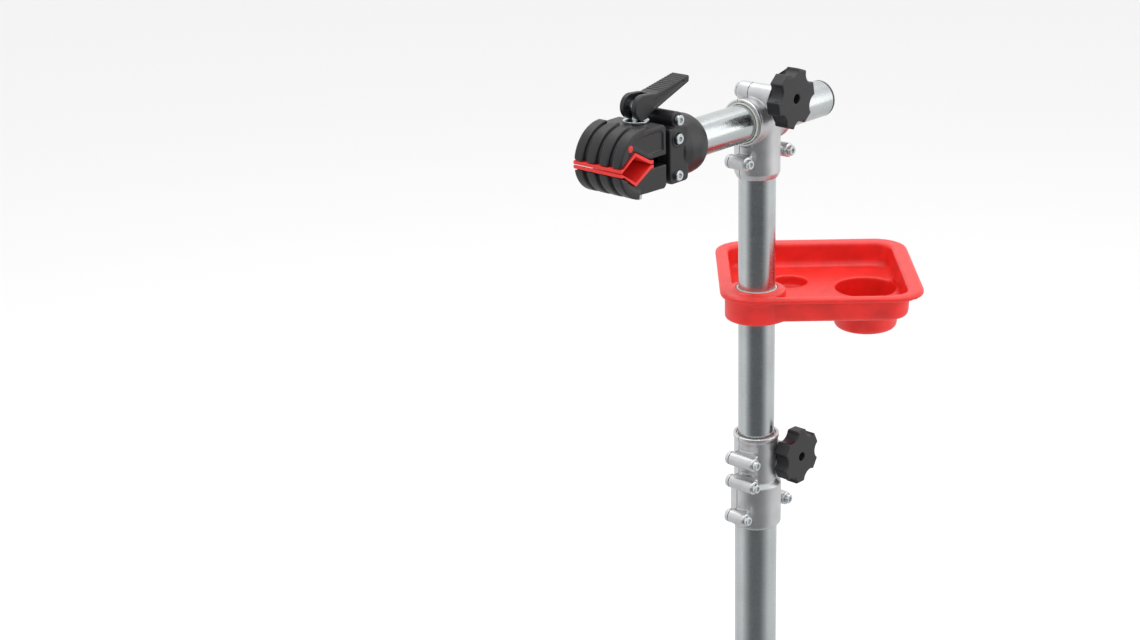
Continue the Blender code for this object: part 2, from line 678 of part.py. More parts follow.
def build_lever():
    stud_axis = pivot("stud_axis", STUD_AT, 0, ARM_HEIGHT)
    at = place(STUD_AT, 0, ARM_HEIGHT)
    saddle_low = CAM_HEIGHT - CAM_RADIUS - FIT - SADDLE
    saddle = sleeve(BOLT_RADIUS + HOLE_GAP, SADDLE_RADIUS, saddle_low, saddle_low + SADDLE, at)
    finish("saddle_washer", saddle, STEEL, stud_axis)
    cam = head_point(STUD_AT, CAM_HEIGHT)
    pin = cylinder(CAM_PIN_RADIUS, -LEVER_HALF_WIDTH + 0.0005, LEVER_HALF_WIDTH - 0.0005, cam, sides=16)
    stud = cylinder(BOLT_RADIUS, -STUD_END, CAM_HEIGHT + BOLT_RADIUS, at, sides=16)
    finish("clamp_stud", join(pin, stud), STEEL, stud_axis)
    lever_axis = pivot("lever_axis", STUD_AT, 0, ARM_HEIGHT + CAM_HEIGHT)
    frame = place(0, 0, ARM_HEIGHT) @ SIDE_VIEW
    tip_x, tip_z = LEVER_TIP
    cam_arc = arc((STUD_AT, CAM_HEIGHT), CAM_RADIUS, -140, 105, 16)
    outline = cam_arc + [(STUD_AT - 0.020, CAM_HEIGHT + 0.0095), (tip_x + 0.002, tip_z + LEVER_TIP_HALF),
                         (tip_x, tip_z + LEVER_TIP_HALF - 0.001), (tip_x + 0.0005, tip_z - LEVER_TIP_HALF)]
    body = extruded(outline, -LEVER_HALF_WIDTH, LEVER_HALF_WIDTH, frame)
    cut(body, cylinder(CAM_PIN_RADIUS + FIT, -0.05, 0.05, cam, sides=16))
    gap = BOLT_RADIUS + 0.0006
    cut(body, block((STUD_AT - gap - FIT, -gap, ARM_HEIGHT), (STUD_AT + 0.05, gap, ARM_HEIGHT + 0.1)))
    slot_top = CAM_HEIGHT + CAM_RADIUS + 0.01
    cut(body, block((STUD_AT - 0.0125, -gap, ARM_HEIGHT + CAM_HEIGHT - 0.006),
                    (STUD_AT + 0.05, gap, ARM_HEIGHT + slot_top)))
    finish("cam_lever", body, BLACK, lever_axis)


# ---- Upper tube and collar ----------------------------------------------------------
def build_post():
    finish("upper_tube", sleeve(TUBE_RADIUS - TUBE_WALL, TUBE_RADIUS, POST_BOTTOM, POST_TOP), ZINC)
    bore = TUBE_RADIUS - TUBE_WALL - FIT
    low = POST_BOTTOM - FIT
    guide = turned(((0.0, low + CAP_DEPTH), (bore, low + CAP_DEPTH), (bore, low), (GUIDE_RADIUS, low),
                    (GUIDE_RADIUS, low - GUIDE_LENGTH), (0.0, low - GUIDE_LENGTH)))
    finish("upper_tube_guide", guide, NYLON)


def collar(name, front):
    """One half of the casting that joins the two tubes."""
    upper_low = COLLAR_TOP - COLLAR_UPPER
    low = upper_low - COLLAR_LOWER
    flare = LOWER_COLLAR_RADIUS - CLAMP_RADIUS
    body = turned(((0.0, COLLAR_TOP), (CLAMP_RADIUS + COLLAR_LIP, COLLAR_TOP),
                   (CLAMP_RADIUS + COLLAR_LIP, COLLAR_TOP - COLLAR_LIP_HEIGHT),
                   (CLAMP_RADIUS, COLLAR_TOP - COLLAR_LIP_HEIGHT - COLLAR_LIP),
                   (CLAMP_RADIUS, upper_low + flare), (LOWER_COLLAR_RADIUS, upper_low - 0.002),
                   (LOWER_COLLAR_RADIUS, low), (0.0, low)))
    for drop, x, lug_front in collar_lugs():
        inner = CLAMP_RADIUS - 0.001 if drop < COLLAR_UPPER else LOWER_COLLAR_RADIUS - 0.003
        lug_pair(body, x, COLLAR_TOP - drop, LUG_RADIUS, LUG_REAR, lug_front, inner, LUG_RADIUS * 0.8)
    knob_z = COLLAR_TOP - COLLAR_KNOB_DROP
    lug_pair(body, -KNOB_OFFSET, knob_z, EAR_RADIUS, COLLAR_EAR_REAR, COLLAR_EAR_FRONT, CLAMP_RADIUS - 0.004,
             EAR_RADIUS * 0.8)
    cut(body, cylinder(CLAMP_BORE, low - 0.01, COLLAR_TOP + 0.01))
    cut(body, cylinder(LOWER_RADIUS + FIT, low - 0.01, LOWER_TOP + FIT))
    for drop, x, lug_front in collar_lugs():
        cut(body, screw_hole(-LUG_REAR + 0.0015, 0.05, place(x, 0, COLLAR_TOP - drop) @ ALONG_Y))
    cut(body, bolt_hole(-0.05, 0.05, place(-KNOB_OFFSET, 0, knob_z) @ ALONG_Y))
    keep_inside(body, half_block(front, 0.1, place(0, 0, COLLAR_TOP - COLLAR_UPPER)))
    finish(name, body, ALUMINIUM)


def collar_lugs():
    """Drop below the rim, place along X and front face of each screw lug."""
    upper_x = CLAMP_RADIUS + LUG_REACH
    lower_x = LOWER_COLLAR_RADIUS + LUG_REACH * 0.8
    top, middle, bottom = COLLAR_LUG_DROPS
    return ((top, upper_x, COLLAR_LUG_FRONT), (middle, upper_x, COLLAR_LUG_FRONT),
            (bottom, lower_x, TEE_LUG_FRONT), (bottom, -lower_x, TEE_LUG_FRONT))


def build_collar():
    collar("collar_front", True)
    collar("collar_rear", False)
    for number, (drop, x, front) in enumerate(collar_lugs(), 1):
        at = place(x, 0, COLLAR_TOP - drop) @ ALONG_Y
        finish(f"collar_screw_{number}", cap_screw(front, front + LUG_REAR - 0.002, at), STEEL)
    knob_set("height_knob", -KNOB_OFFSET, COLLAR_TOP - COLLAR_KNOB_DROP, COLLAR_EAR_FRONT, COLLAR_EAR_REAR,
             COLLAR_KNOB_TURN)
    liner = sleeve(TUBE_RADIUS + FIT, LINER_RADIUS, LOWER_TOP + FIT * 2, COLLAR_TOP - 0.002)
    finish("collar_liner", liner, NYLON)


# ---- Tray ---------------------------------------------------------------------------
def build_tray():
    swivel = pivot("tray_axis", 0, 0, ARM_HEIGHT - TRAY_DROP)
    frame = place(0, 0, ARM_HEIGHT - TRAY_DROP) @ Matrix.Rotation(TRAY_TURN, 4, "Z")
    boss = TRAY_BORE + BOSS_BORE_WALL
    body = extruded(rounded_rectangle(RIM_LOW, RIM_HIGH, RIM_CORNER), -RIM_THICKNESS, 0.0, frame)
    inside = extruded(rounded_rectangle([value + TRAY_WALL for value in WALL_LOW],
                                        [value - TRAY_WALL for value in WALL_HIGH],
                                        WALL_CORNER - TRAY_WALL), -TRAY_DEPTH + TRAY_WALL, 0.01, frame)
    keep_clear = cylinder(BOSS_RADIUS - 0.004, -TRAY_DEPTH - 0.01, 0.02, frame)
    cut(inside, keep_clear)
    cup_at = frame @ place(*CUP_AT, 0)
    cup_low = -TRAY_DEPTH - CUP_DEPTH
    cup = cylinder(CUP_RADIUS - 0.002, cup_low, -TRAY_DEPTH + 0.001, cup_at, top_radius=CUP_RADIUS)
    recess_at = frame @ place(*RECESS_AT, 0)
    recess_low = -TRAY_DEPTH - RECESS_DEPTH
    recess = cylinder(RECESS_RADIUS + TRAY_WALL, recess_low, -TRAY_DEPTH + 0.001, recess_at)
    join(body, cup, recess)
    join(body, extruded(rounded_rectangle(WALL_LOW, WALL_HIGH, WALL_CORNER), -TRAY_DEPTH, -0.001, frame))
    join(body, cylinder(BOSS_RADIUS, -TRAY_DEPTH - BOSS_SKIRT, -0.002, frame))
    join(body, cylinder(boss, -0.005, BOSS_LIP, frame))
    cut(body, inside)
    floor = -TRAY_DEPTH + TRAY_WALL
    cut(body, cylinder(CUP_RADIUS - TRAY_WALL - 0.002, cup_low + TRAY_WALL, floor + 0.001, cup_at,
                       top_radius=CUP_RADIUS - TRAY_WALL))
    cut(body, cylinder(RECESS_RADIUS, recess_low + TRAY_WALL, floor + 0.001, recess_at))
    cut(body, cylinder(TRAY_BORE, -0.1, 0.1, frame))
    screw_at = frame @ place(0, 0, -TRAY_DEPTH / 2) @ Matrix.Rotation(math.radians(45.0), 4, "Z") @ ALONG_X
    cut(body, screw_hole(0.0, 0.1, screw_at))
    finish("tool_tray", body, RED, swivel)
    face = BOSS_RADIUS
    screw = cap_screw(face, face - TRAY_BORE - 0.001, screw_at)
    finish("tray_screw", screw, STEEL, swivel)
    bush = sleeve(TUBE_RADIUS + FIT, TUBE_RADIUS + FIT + TRAY_BUSH_WALL,
                  -TRAY_DEPTH + 0.001, BOSS_LIP - 0.0005, frame)
    finish("tray_bush", bush, NYLON, swivel)


# ---- Lower tube and tripod ----------------------------------------------------------
def leg_frame(turn):
    """Side view of one leg: X runs outwards and Y upwards from the floor under the tube's axis."""
    return Matrix.Rotation(turn, 4, "Z") @ SIDE_VIEW


def along_leg(turn):
    """Frame on a leg's axis: Z runs from its pivot towards its foot."""
    start = Matrix.Rotation(turn, 4, "Z") @ place(PIVOT_REACH, 0, PIVOT_HEIGHT)
    return start @ Matrix.Rotation(math.radians(90.0) + LEG_TILT, 4, "Y")


def leg_line(distance, offset):
    """Point in a leg's side view, along its axis from the pivot and square off it, upwards."""
    x = PIVOT_REACH + distance * math.cos(LEG_TILT) + offset * math.sin(LEG_TILT)
    y = PIVOT_HEIGHT - distance * math.sin(LEG_TILT) + offset * math.cos(LEG_TILT)
    return x, y


def leg_room():
    """Outline of the room that a leg sweeps in the hub as it folds down; its top edge is the stop."""
    reach = LEG_RADIUS + FIT
    centre = (PIVOT_REACH, PIVOT_HEIGHT)
    points = arc(centre, reach, 180, 90 - math.degrees(LEG_TILT), 14)
    points += [leg_line(0.06, reach), (leg_line(0.06, reach)[0], PIVOT_HEIGHT - 0.10)]
    points.append((PIVOT_REACH - reach, PIVOT_HEIGHT - 0.10))
    return points


def build_hub(turns):
    body = cylinder(HUB_RADIUS, HUB_BOTTOM, HUB_TOP)
    for turn in turns:
        frame = Matrix.Rotation(turn, 4, "Z")
        half = HUB_LUG_WIDTH / 2
        cheek = block((LOWER_RADIUS + 0.004, -half, HUB_BOTTOM + 0.003),
                      (HUB_LUG_REACH, half, HUB_TOP - 0.004), frame)
        join(body, cheek)
    for turn in turns:
        half = LEG_EYE_WIDTH / 2 + FIT
        cut(body, extruded(leg_room(), -half, half, leg_frame(turn)))
        at = Matrix.Rotation(turn, 4, "Z") @ place(PIVOT_REACH, 0, PIVOT_HEIGHT) @ ALONG_Y
        cut(body, bolt_hole(-0.05, 0.05, at))
    cut(body, cylinder(LOWER_RADIUS + FIT, HUB_BOTTOM - 0.01, HUB_TOP + 0.01))
    middle = place(0, 0, (HUB_BOTTOM + HUB_TOP) / 2)
    for number, turn in enumerate(turns, 1):
        at = Matrix.Rotation(turn + math.pi / LEG_COUNT, 4, "Z") @ middle @ ALONG_X
        cut(body, screw_hole(0.0, 0.1, at))
        screw = cap_screw(HUB_RADIUS, HUB_RADIUS - LOWER_RADIUS - 0.001, at)
        finish(f"leg_hub_screw_{number}", screw, STEEL)
    finish("leg_hub", body, ALUMINIUM)


def build_pivots(turns):
    half = HUB_LUG_WIDTH / 2 + FIT
    for number, turn in enumerate(turns, 1):
        at = Matrix.Rotation(turn, 4, "Z") @ place(PIVOT_REACH, 0, PIVOT_HEIGHT) @ ALONG_Y
        bolt = cylinder(BOLT_RADIUS, -half - 0.008, half + 0.001, at, sides=16)
        join(bolt, cylinder(BOLT_HEAD_RADIUS, half, half + BOLT_HEAD, at, sides=16))
        finish(f"leg_pivot_bolt_{number}", bolt, STEEL)
        nut = cylinder(BOLT_HEAD_RADIUS, -half - 0.0065, -half, at, sides=6)
        finish(f"leg_pivot_nut_{number}", cut(nut, bolt_hole(-0.1, 0.0, at)), STEEL)


def build_leg(name, turn):
    axis = Matrix.Rotation(turn, 4, "Z") @ Vector((PIVOT_REACH, 0, PIVOT_HEIGHT))
    axis_at = pivot(name + "_axis", *axis)
    frame = leg_frame(turn)
    at = along_leg(turn)
    eye_outline = arc((PIVOT_REACH, PIVOT_HEIGHT), LEG_RADIUS, 90 - math.degrees(LEG_TILT),
                      270 - math.degrees(LEG_TILT), 12)
    eye_outline += [leg_line(LEG_EYE_LENGTH, -LEG_RADIUS), leg_line(LEG_EYE_LENGTH, LEG_RADIUS)]
    eye = extruded(eye_outline, -LEG_EYE_WIDTH / 2, LEG_EYE_WIDTH / 2, frame)
    spigot_radius = LEG_RADIUS - LEG_WALL - FIT
    join(eye, cylinder(spigot_radius, LEG_EYE_LENGTH - 0.003, LEG_EYE_LENGTH + SPIGOT, at, sides=16))
    cut(eye, bolt_hole(-0.05, 0.05, Matrix.Translation(axis) @ Matrix.Rotation(turn, 4, "Z") @ ALONG_Y))
    finish(name + "_eye", eye, BLACK, axis_at)
    tube_end = LEG_LENGTH - 0.006
    tube = sleeve(LEG_RADIUS - LEG_WALL, LEG_RADIUS, LEG_EYE_LENGTH + FIT, tube_end, at, sides=16)
    finish(name + "_tube", tube, ZINC, axis_at)
    foot = cylinder(FOOT_RADIUS, LEG_LENGTH + FOOT_TOE - FOOT_LENGTH, LEG_LENGTH + FOOT_TOE, at)
    cut(foot, cylinder(LEG_RADIUS + FIT, 0.0, tube_end + FIT, at, sides=16))
    cut(foot, block((-1, -1, -0.1), (1, 1, 0.0)))
    finish(name + "_foot", foot, RUBBER, axis_at)


def build_base():
    low = HUB_BOTTOM - 0.004
    finish("lower_tube", sleeve(LOWER_RADIUS - LOWER_WALL, LOWER_RADIUS, low, LOWER_TOP), ZINC)
    bore = LOWER_RADIUS - LOWER_WALL - FIT
    plug = turned(((0.0, low + CAP_DEPTH), (bore, low + CAP_DEPTH),
                   (bore, low - FIT), (LOWER_RADIUS, low - FIT),
                   (LOWER_RADIUS - 0.001, low - 0.004), (0.0, low - 0.004)))
    finish("lower_tube_plug", plug, BLACK)
    turns = [number * math.tau / LEG_COUNT for number in range(LEG_COUNT)]
    build_hub(turns)
    build_pivots(turns)
    for name, turn in zip(("leg_front", "leg_right", "leg_left"), turns):
        build_leg(name, turn)


def centre_on_floor():
    """Move the whole stand so that the middle of its outline is over the origin."""
    bpy.context.view_layer.update()
    graph = bpy.context.evaluated_depsgraph_get()
    points = []
    for item in PARTS.objects:
        if item.type == "MESH":
            shape = item.evaluated_get(graph).data
            points += [item.matrix_world @ vertex.co for vertex in shape.vertices]
    across, along, up = zip(*points)
    ROOT.location = (-(min(across) + max(across)) / 2, -(min(along) + max(along)) / 2, -min(up))


def main():
    build_tee()
    build_arm()
    build_head()
    build_lever()
    build_post()
    build_collar()
    build_tray()
    build_base()
    centre_on_floor()


main()
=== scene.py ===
"""Looks of the bicycle repair stand: detailed pieces and finishes around the packed frame."""
import math

import bmesh
import bpy
import numpy as np
from bpy.props import FloatProperty, FloatVectorProperty, IntProperty, PointerProperty
from mathutils import Matrix, Vector


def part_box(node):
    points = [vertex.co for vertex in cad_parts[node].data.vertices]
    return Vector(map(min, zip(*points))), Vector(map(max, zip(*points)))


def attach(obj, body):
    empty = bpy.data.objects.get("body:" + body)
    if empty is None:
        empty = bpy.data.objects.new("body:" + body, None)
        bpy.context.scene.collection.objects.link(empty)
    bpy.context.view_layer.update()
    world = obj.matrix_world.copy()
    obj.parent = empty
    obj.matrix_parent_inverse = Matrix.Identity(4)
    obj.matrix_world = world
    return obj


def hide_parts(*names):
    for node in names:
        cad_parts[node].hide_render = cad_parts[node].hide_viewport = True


bl_info = {
    "name": "Bicycle Repair Stand",
    "version": (1, 0, 0),
    "blender": (4, 5, 0),
    "location": "View3D > Sidebar > Repair Stand",
    "description": "Builds the visible pieces and finishes of a bicycle repair stand",
    "category": "Object",
}

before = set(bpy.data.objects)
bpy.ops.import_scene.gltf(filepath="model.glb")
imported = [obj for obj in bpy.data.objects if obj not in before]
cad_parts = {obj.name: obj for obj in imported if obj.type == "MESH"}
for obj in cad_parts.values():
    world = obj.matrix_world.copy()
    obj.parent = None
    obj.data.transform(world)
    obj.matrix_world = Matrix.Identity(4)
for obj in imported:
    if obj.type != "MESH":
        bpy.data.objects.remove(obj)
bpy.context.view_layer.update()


# ---- Places taken from the frame ----------------------------------------------------
def middle(node):
    low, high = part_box(node)
    return (Vector(low) + Vector(high)) / 2


CROSSING = Vector((middle("upper_tube").x, middle("upper_tube").y, middle("arm_tube").z))


def at(x=0.0, y=0.0, z=0.0):
    """Place measured from where the arm's axis crosses the upper tube's."""
    return Matrix.Translation(CROSSING + Vector((x, y, z)))


ALONG_X = Matrix.Rotation(math.radians(90.0), 4, "Y")
ALONG_Y = Matrix.Rotation(math.radians(-90.0), 4, "X")
SIDE_VIEW = Matrix.Rotation(math.radians(90.0), 4, "X")
UPRIGHT = Matrix.Identity(4)

# ---- Sizes of the real pieces, in metres --------------------------------------------
FIT = 0.0003
TUBE_RADIUS = 0.0190
TUBE_WALL = 0.0020
LOWER_RADIUS = 0.0225
LOWER_WALL = 0.00175
SLEEVE_RADIUS = 0.0208
CLAMP_BORE = 0.0211
CLAMP_RADIUS = 0.0233
SOCKET_RADIUS = 0.0233
COLLAR_BODY_RADIUS = 0.0268
SEAM = -0.0050
SEAM_GAP = 0.0010
RING_HALF = 0.0260
SOCKET_DEPTH = 0.0600
EAR_HEIGHT = 0.0261
EAR_RADIUS = 0.0100
LUG_RADIUS = 0.0073
LUG_REAR = 0.0110
LUG_OUT = 0.0343
TEE_LUG_HEIGHT = -0.0380
TEE_LUG_FRONT = 0.0150
BOLT_HOLE = 0.0043
SCREW_HOLE = 0.0033
KNOB_OFFSET = 0.0275
COLLAR_TOP = -0.3400
HEAD_BULB_RADIUS = 0.0300
HEAD_START = 0.108
HEAD_MOUTH = 0.168
HEAD_HALF_WIDTH = 0.0270
HEAD_SCREWS = ((0.156, 0.0336), (0.158, -0.0190), (0.157, 0.0160))
JAW_HALF_WIDTH = 0.0290
JAW_TIP = 0.2400
JAW_REAR = 0.1740
STUD_AT = 0.1840
CAM_HEIGHT = 0.0480
CAM_RADIUS = 0.0120
LEVER_HALF_WIDTH = 0.0100
TRAY_TURN = math.radians(130.8)
TRAY_DROP = 0.1800
PIVOT_REACH = 0.050
PIVOT_DROP = -0.870
LEG_RADIUS = 0.0140
LEG_TURNS = {"leg_front": 0.0, "leg_right": math.tau / 3, "leg_left": 2 * math.tau / 3}
LEG_TILT = math.atan2(0.347, 0.430)
LEG_LENGTH = math.hypot(0.347, 0.430)


# ---- Settings -----------------------------------------------------------------------
def colour(name, words, value):
    return FloatVectorProperty(name=name, description=words, default=value, subtype="COLOR",
                               size=3, min=0.0, max=1.0)


class StandFinish(bpy.types.PropertyGroup):
    tray_red: colour("Tray red", "Colour of the moulded tool tray", (0.78, 0.020, 0.014))
    pad_red: colour("Pad red", "Colour of the soft jaw pads", (0.62, 0.022, 0.018))
    moulding_black: colour("Moulding black", "Colour of the clamp head and the knobs", (0.010, 0.010, 0.012))
    zinc_tone: colour("Zinc tone", "Colour of the plated tubes", (0.57, 0.60, 0.61))
    alloy_tone: colour("Alloy tone", "Colour of the cast clamps", (0.66, 0.665, 0.675))


class StandSizes(bpy.types.PropertyGroup):
    casting_detail: FloatProperty(name="Casting detail", default=0.0008, unit="LENGTH",
                                  description="Mesh size on the cast clamps")
    moulding_detail: FloatProperty(name="Moulding detail", default=0.0007, unit="LENGTH",
                                   description="Mesh size on the moulded head and jaws")
    tray_detail: FloatProperty(name="Tray detail", default=0.0014, unit="LENGTH",
                               description="Mesh size on the tray")
    knob_lobes: IntProperty(name="Knob lobes", default=6, min=3, max=12,
                            description="Lobes round each star knob")
    knob_hollow: FloatProperty(name="Knob hollow", default=0.0052, unit="LENGTH",
                               description="Depth of the hollows between the lobes")
    jaw_ribs: IntProperty(name="Jaw ribs", default=4, min=2, max=8,
                          description="Round ribs across each jaw's nose")
    jaw_rib_width: FloatProperty(name="Jaw rib width", default=0.0113, unit="LENGTH",
                                 description="Width of one jaw rib")
    grip_ridges: IntProperty(name="Grip ridges", default=11, min=3, max=24,
                             description="Ridges across the lever's grip")
    foot_rings: IntProperty(name="Foot rings", default=4, min=1, max=8,
                            description="Rings round each rubber foot")


class StandStage(bpy.types.PropertyGroup):
    floor_tone: colour("Floor tone", "Colour of the plain floor", (0.90, 0.90, 0.90))
    key_power: FloatProperty(name="Key power", default=46.0, unit="POWER",
                             description="Power of the wide light overhead")
    fill_power: FloatProperty(name="Fill power", default=12.0, unit="POWER",
                              description="Power of the light from the side")
    sky_strength: FloatProperty(name="Sky strength", default=1.0, min=0.0,
                                description="Strength of the light from all round")


def finish_settings():
    return bpy.context.scene.stand_finish


def sizes():
    return bpy.context.scene.stand_sizes


# ---- Mesh helpers -------------------------------------------------------------------
def scratch(mesh):
    """Working object, removed once its mesh has been used."""
    item = bpy.data.objects.new("work", mesh)
    bpy.context.scene.collection.objects.link(item)
    return item


def baked(item):
    """Plain mesh of a working object with its modifiers applied; the object is removed."""
    bpy.context.view_layer.update()
    graph = bpy.context.evaluated_depsgraph_get()
    mesh = bpy.data.meshes.new_from_object(item.evaluated_get(graph), preserve_all_data_layers=True,
                                           depsgraph=graph)
    bpy.data.objects.remove(item, do_unlink=True)
    return mesh


def mesh_from(bm):
    mesh = bpy.data.meshes.new("shape")
    bm.to_mesh(mesh)
    bm.free()
    return mesh


def round_corners(points, radius, steps=4, closed=True):
    """Outline with every corner replaced by an arc."""
    out = []
    count = len(points)
    radii = radius if isinstance(radius, (list, tuple)) else [radius] * count
    for index, (point, bend) in enumerate(zip(points, radii)):
        here = Vector(point)
        if bend <= 0 or (not closed and index in (0, count - 1)):
            out.append(tuple(here))
            continue
        before = Vector(points[index - 1]) - here
        after = Vector(points[(index + 1) % count]) - here
        half = before.angle(after) / 2
        if half > math.radians(88.0):
            out.append(tuple(here))
            continue
        reach = min(bend / math.tan(half), before.length * 0.49, after.length * 0.49)
        first, last = here + before.normalized() * reach, here + after.normalized() * reach
        bend = reach * math.tan(half)
        centre = here + (before.normalized() + after.normalized()).normalized() * (bend / math.sin(half))
        a, b = first - centre, last - centre
        sweep = a.angle_signed(b)
        for step in range(steps + 1):
            turn = -sweep * step / steps
            out.append((centre.x + a.x * math.cos(turn) - a.y * math.sin(turn),
                        centre.y + a.x * math.sin(turn) + a.y * math.cos(turn)))
    return out


def arc(centre, radius, start, end, steps):
    """Points of a circular arc, angles in degrees."""
    turns = (math.radians(start + (end - start) * step / steps) for step in range(steps + 1))
    return [(centre[0] + radius * math.cos(turn), centre[1] + radius * math.sin(turn)) for turn in turns]


def turned(profile, matrix=UPRIGHT, closed=False, segments=96):
    """Mesh turned about the matrix's Z from (radius, height) points; the ends on the axis close it."""
    bm = bmesh.new()
    rings = []
    for radius, height in profile:
        if radius < 1e-7:
            rings.append([bm.verts.new((0.0, 0.0, height))])
        else:
            turns = (math.tau * index / segments for index in range(segments))
            rings.append([bm.verts.new((radius * math.cos(t), radius * math.sin(t), height)) for t in turns])
    pairs = list(zip(rings, rings[1:]))
    if closed:
        pairs.append((rings[-1], rings[0]))
    for upper, lower in pairs:
        for index in range(segments):
            following = (index + 1) % segments
            corners = [upper[index % len(upper)], upper[following % len(upper)],
                       lower[following % len(lower)], lower[index % len(lower)]]
            corners = list(dict.fromkeys(corners))
            if len(corners) > 2:
                bm.faces.new(corners)
    bmesh.ops.recalc_face_normals(bm, faces=bm.faces)
    bmesh.ops.transform(bm, matrix=matrix, verts=bm.verts)
    return mesh_from(bm)


def bar(radius, low, high, matrix=UPRIGHT, edge=0.0, segments=96):
    """Round bar with softened ends."""
    profile = [(0.0, high), (radius, high), (radius, low), (0.0, low)]
    if edge:
        profile = round_corners(profile, edge, 4, closed=False)
    return turned(profile, matrix, segments=segments)


def sleeve(inner, outer, low, high, matrix=UPRIGHT, edge=0.0003, segments=96):
    """Tube with softened ends."""
    profile = [(outer, high), (outer, low), (inner, low), (inner, high)]
    return turned(round_corners(profile, edge, 3), matrix, closed=True, segments=segments)


def inset(outline, amount):
    """Outline moved inwards, for outlines that run anticlockwise."""
    points = np.array(outline)
    before, after = np.roll(points, 1, axis=0), np.roll(points, -1, axis=0)
    first, second = points - before, after - points
    normals = []
    for edge in (first, second):
        length = np.maximum(np.linalg.norm(edge, axis=1, keepdims=True), 1e-12)
        normals.append(np.stack((-edge[:, 1], edge[:, 0]), axis=1) / length)
    blend = normals[0] + normals[1]
    scale = np.maximum((blend * normals[0]).sum(axis=1, keepdims=True), 0.3)
    return points + blend / scale * amount


def hexagon(radius):
    return [(radius * math.cos(math.radians(60 * corner)), radius * math.sin(math.radians(60 * corner)))
            for corner in range(6)]


def anticlockwise(outline):
    area = sum(a[0] * b[1] - b[0] * a[1] for a, b in zip(outline, outline[1:] + outline[:1]))
    return outline if area > 0 else outline[::-1]


def prism(outline, low, high, matrix=SIDE_VIEW, edge=0.0, steps=3):
    """Flat outline with a thickness along the matrix's Z and rounded edges."""
    outline = anticlockwise([tuple(point) for point in outline])
    levels = [(0.0, low), (0.0, high)]
    if edge:
        turns = [math.radians(90.0 * step / steps) for step in range(steps + 1)]
        levels = [(edge * (1 - math.sin(t)), low + edge * (1 - math.cos(t))) for t in turns]
        levels += [(edge * (1 - math.sin(t)), high - edge * (1 - math.cos(t))) for t in reversed(turns)]
    bm = bmesh.new()
    rings = [[bm.verts.new((x, y, height)) for x, y in inset(outline, amount)] for amount, height in levels]
    count = len(outline)
    for lower, upper in zip(rings, rings[1:]):
        for index in range(count):
            following = (index + 1) % count
            bm.faces.new((lower[index], lower[following], upper[following], upper[index]))
    bm.faces.new(rings[0][::-1])
    bm.faces.new(rings[-1])
    bmesh.ops.transform(bm, matrix=matrix, verts=bm.verts)
    if matrix.to_3x3().determinant() < 0:
        bmesh.ops.reverse_faces(bm, faces=bm.faces)
    return mesh_from(bm)


def block(low, high, matrix=UPRIGHT, edge=0.0):
    """Box between two corners, with rounded edges if asked."""
    bm = bmesh.new()
    size = [b - a for a, b in zip(low, high)]
    centre = [(a + b) / 2 for a, b in zip(low, high)]
    bmesh.ops.create_cube(bm, size=1.0, matrix=Matrix.Translation(centre) @ Matrix.Diagonal((*size, 1.0)))
    if edge:
        bmesh.ops.bevel(bm, geom=bm.edges, offset=edge, segments=3, profile=0.5, affect="EDGES")
    bmesh.ops.transform(bm, matrix=matrix, verts=bm.verts)
    return mesh_from(bm)


def combined(mesh, others, operation):
    """Exact Boolean of a mesh with several others."""
    item = scratch(mesh)
    tools = [scratch(other) for other in others]
    for tool in tools:
        step = item.modifiers.new("step", "BOOLEAN")
        step.operation = operation
        step.solver = "EXACT"
        step.object = tool
    result = baked(item)
    for tool in tools:
        bpy.data.objects.remove(tool, do_unlink=True)
    return result


def fused(mesh, *others):
    return combined(mesh, others, "UNION")


def carved(mesh, *others):
    return combined(mesh, others, "DIFFERENCE")


def even_mesh(item, detail):
    step = item.modifiers.new("even", "REMESH")
    step.mode = "VOXEL"
    step.voxel_size = detail * 1.0


def melted(detail, *meshes):
    """One closed skin round several overlapping solids."""
    item = scratch(joined(*meshes))
    even_mesh(item, detail)
    return baked(item)


def softened(mesh, detail, passes=4, factor=0.55):
    """Even fine mesh over a shape, with every edge and inner corner run smooth."""
    item = scratch(mesh)
    even_mesh(item, detail)
    step = item.modifiers.new("smooth", "SMOOTH")
    step.factor = factor
    step.iterations = passes
    return baked(item)


def kept_side(mesh, point, normal):
    """The part of a closed mesh on the side of a plane that normal points to, closed again."""
    bm = bmesh.new()
    bm.from_mesh(mesh)
    everything = bm.verts[:] + bm.edges[:] + bm.faces[:]
    bmesh.ops.bisect_plane(bm, geom=everything, plane_co=point, plane_no=normal, clear_inner=True, dist=1e-7)
    border = [edge for edge in bm.edges if edge.is_boundary]
    bmesh.ops.triangle_fill(bm, edges=border, use_beauty=True, use_dissolve=False)
    bmesh.ops.remove_doubles(bm, verts=bm.verts, dist=1e-7)
    bmesh.ops.recalc_face_normals(bm, faces=bm.faces)
    return mesh_from(bm)


def joined(*meshes):
    """One mesh from several that don't touch."""
    bm = bmesh.new()
    for mesh in meshes:
        bm.from_mesh(mesh)
    return mesh_from(bm)


def moved(mesh, matrix):
    mesh = mesh.copy()
    mesh.transform(matrix)
    if matrix.to_3x3().determinant() < 0:
        mesh.flip_normals()
    return mesh


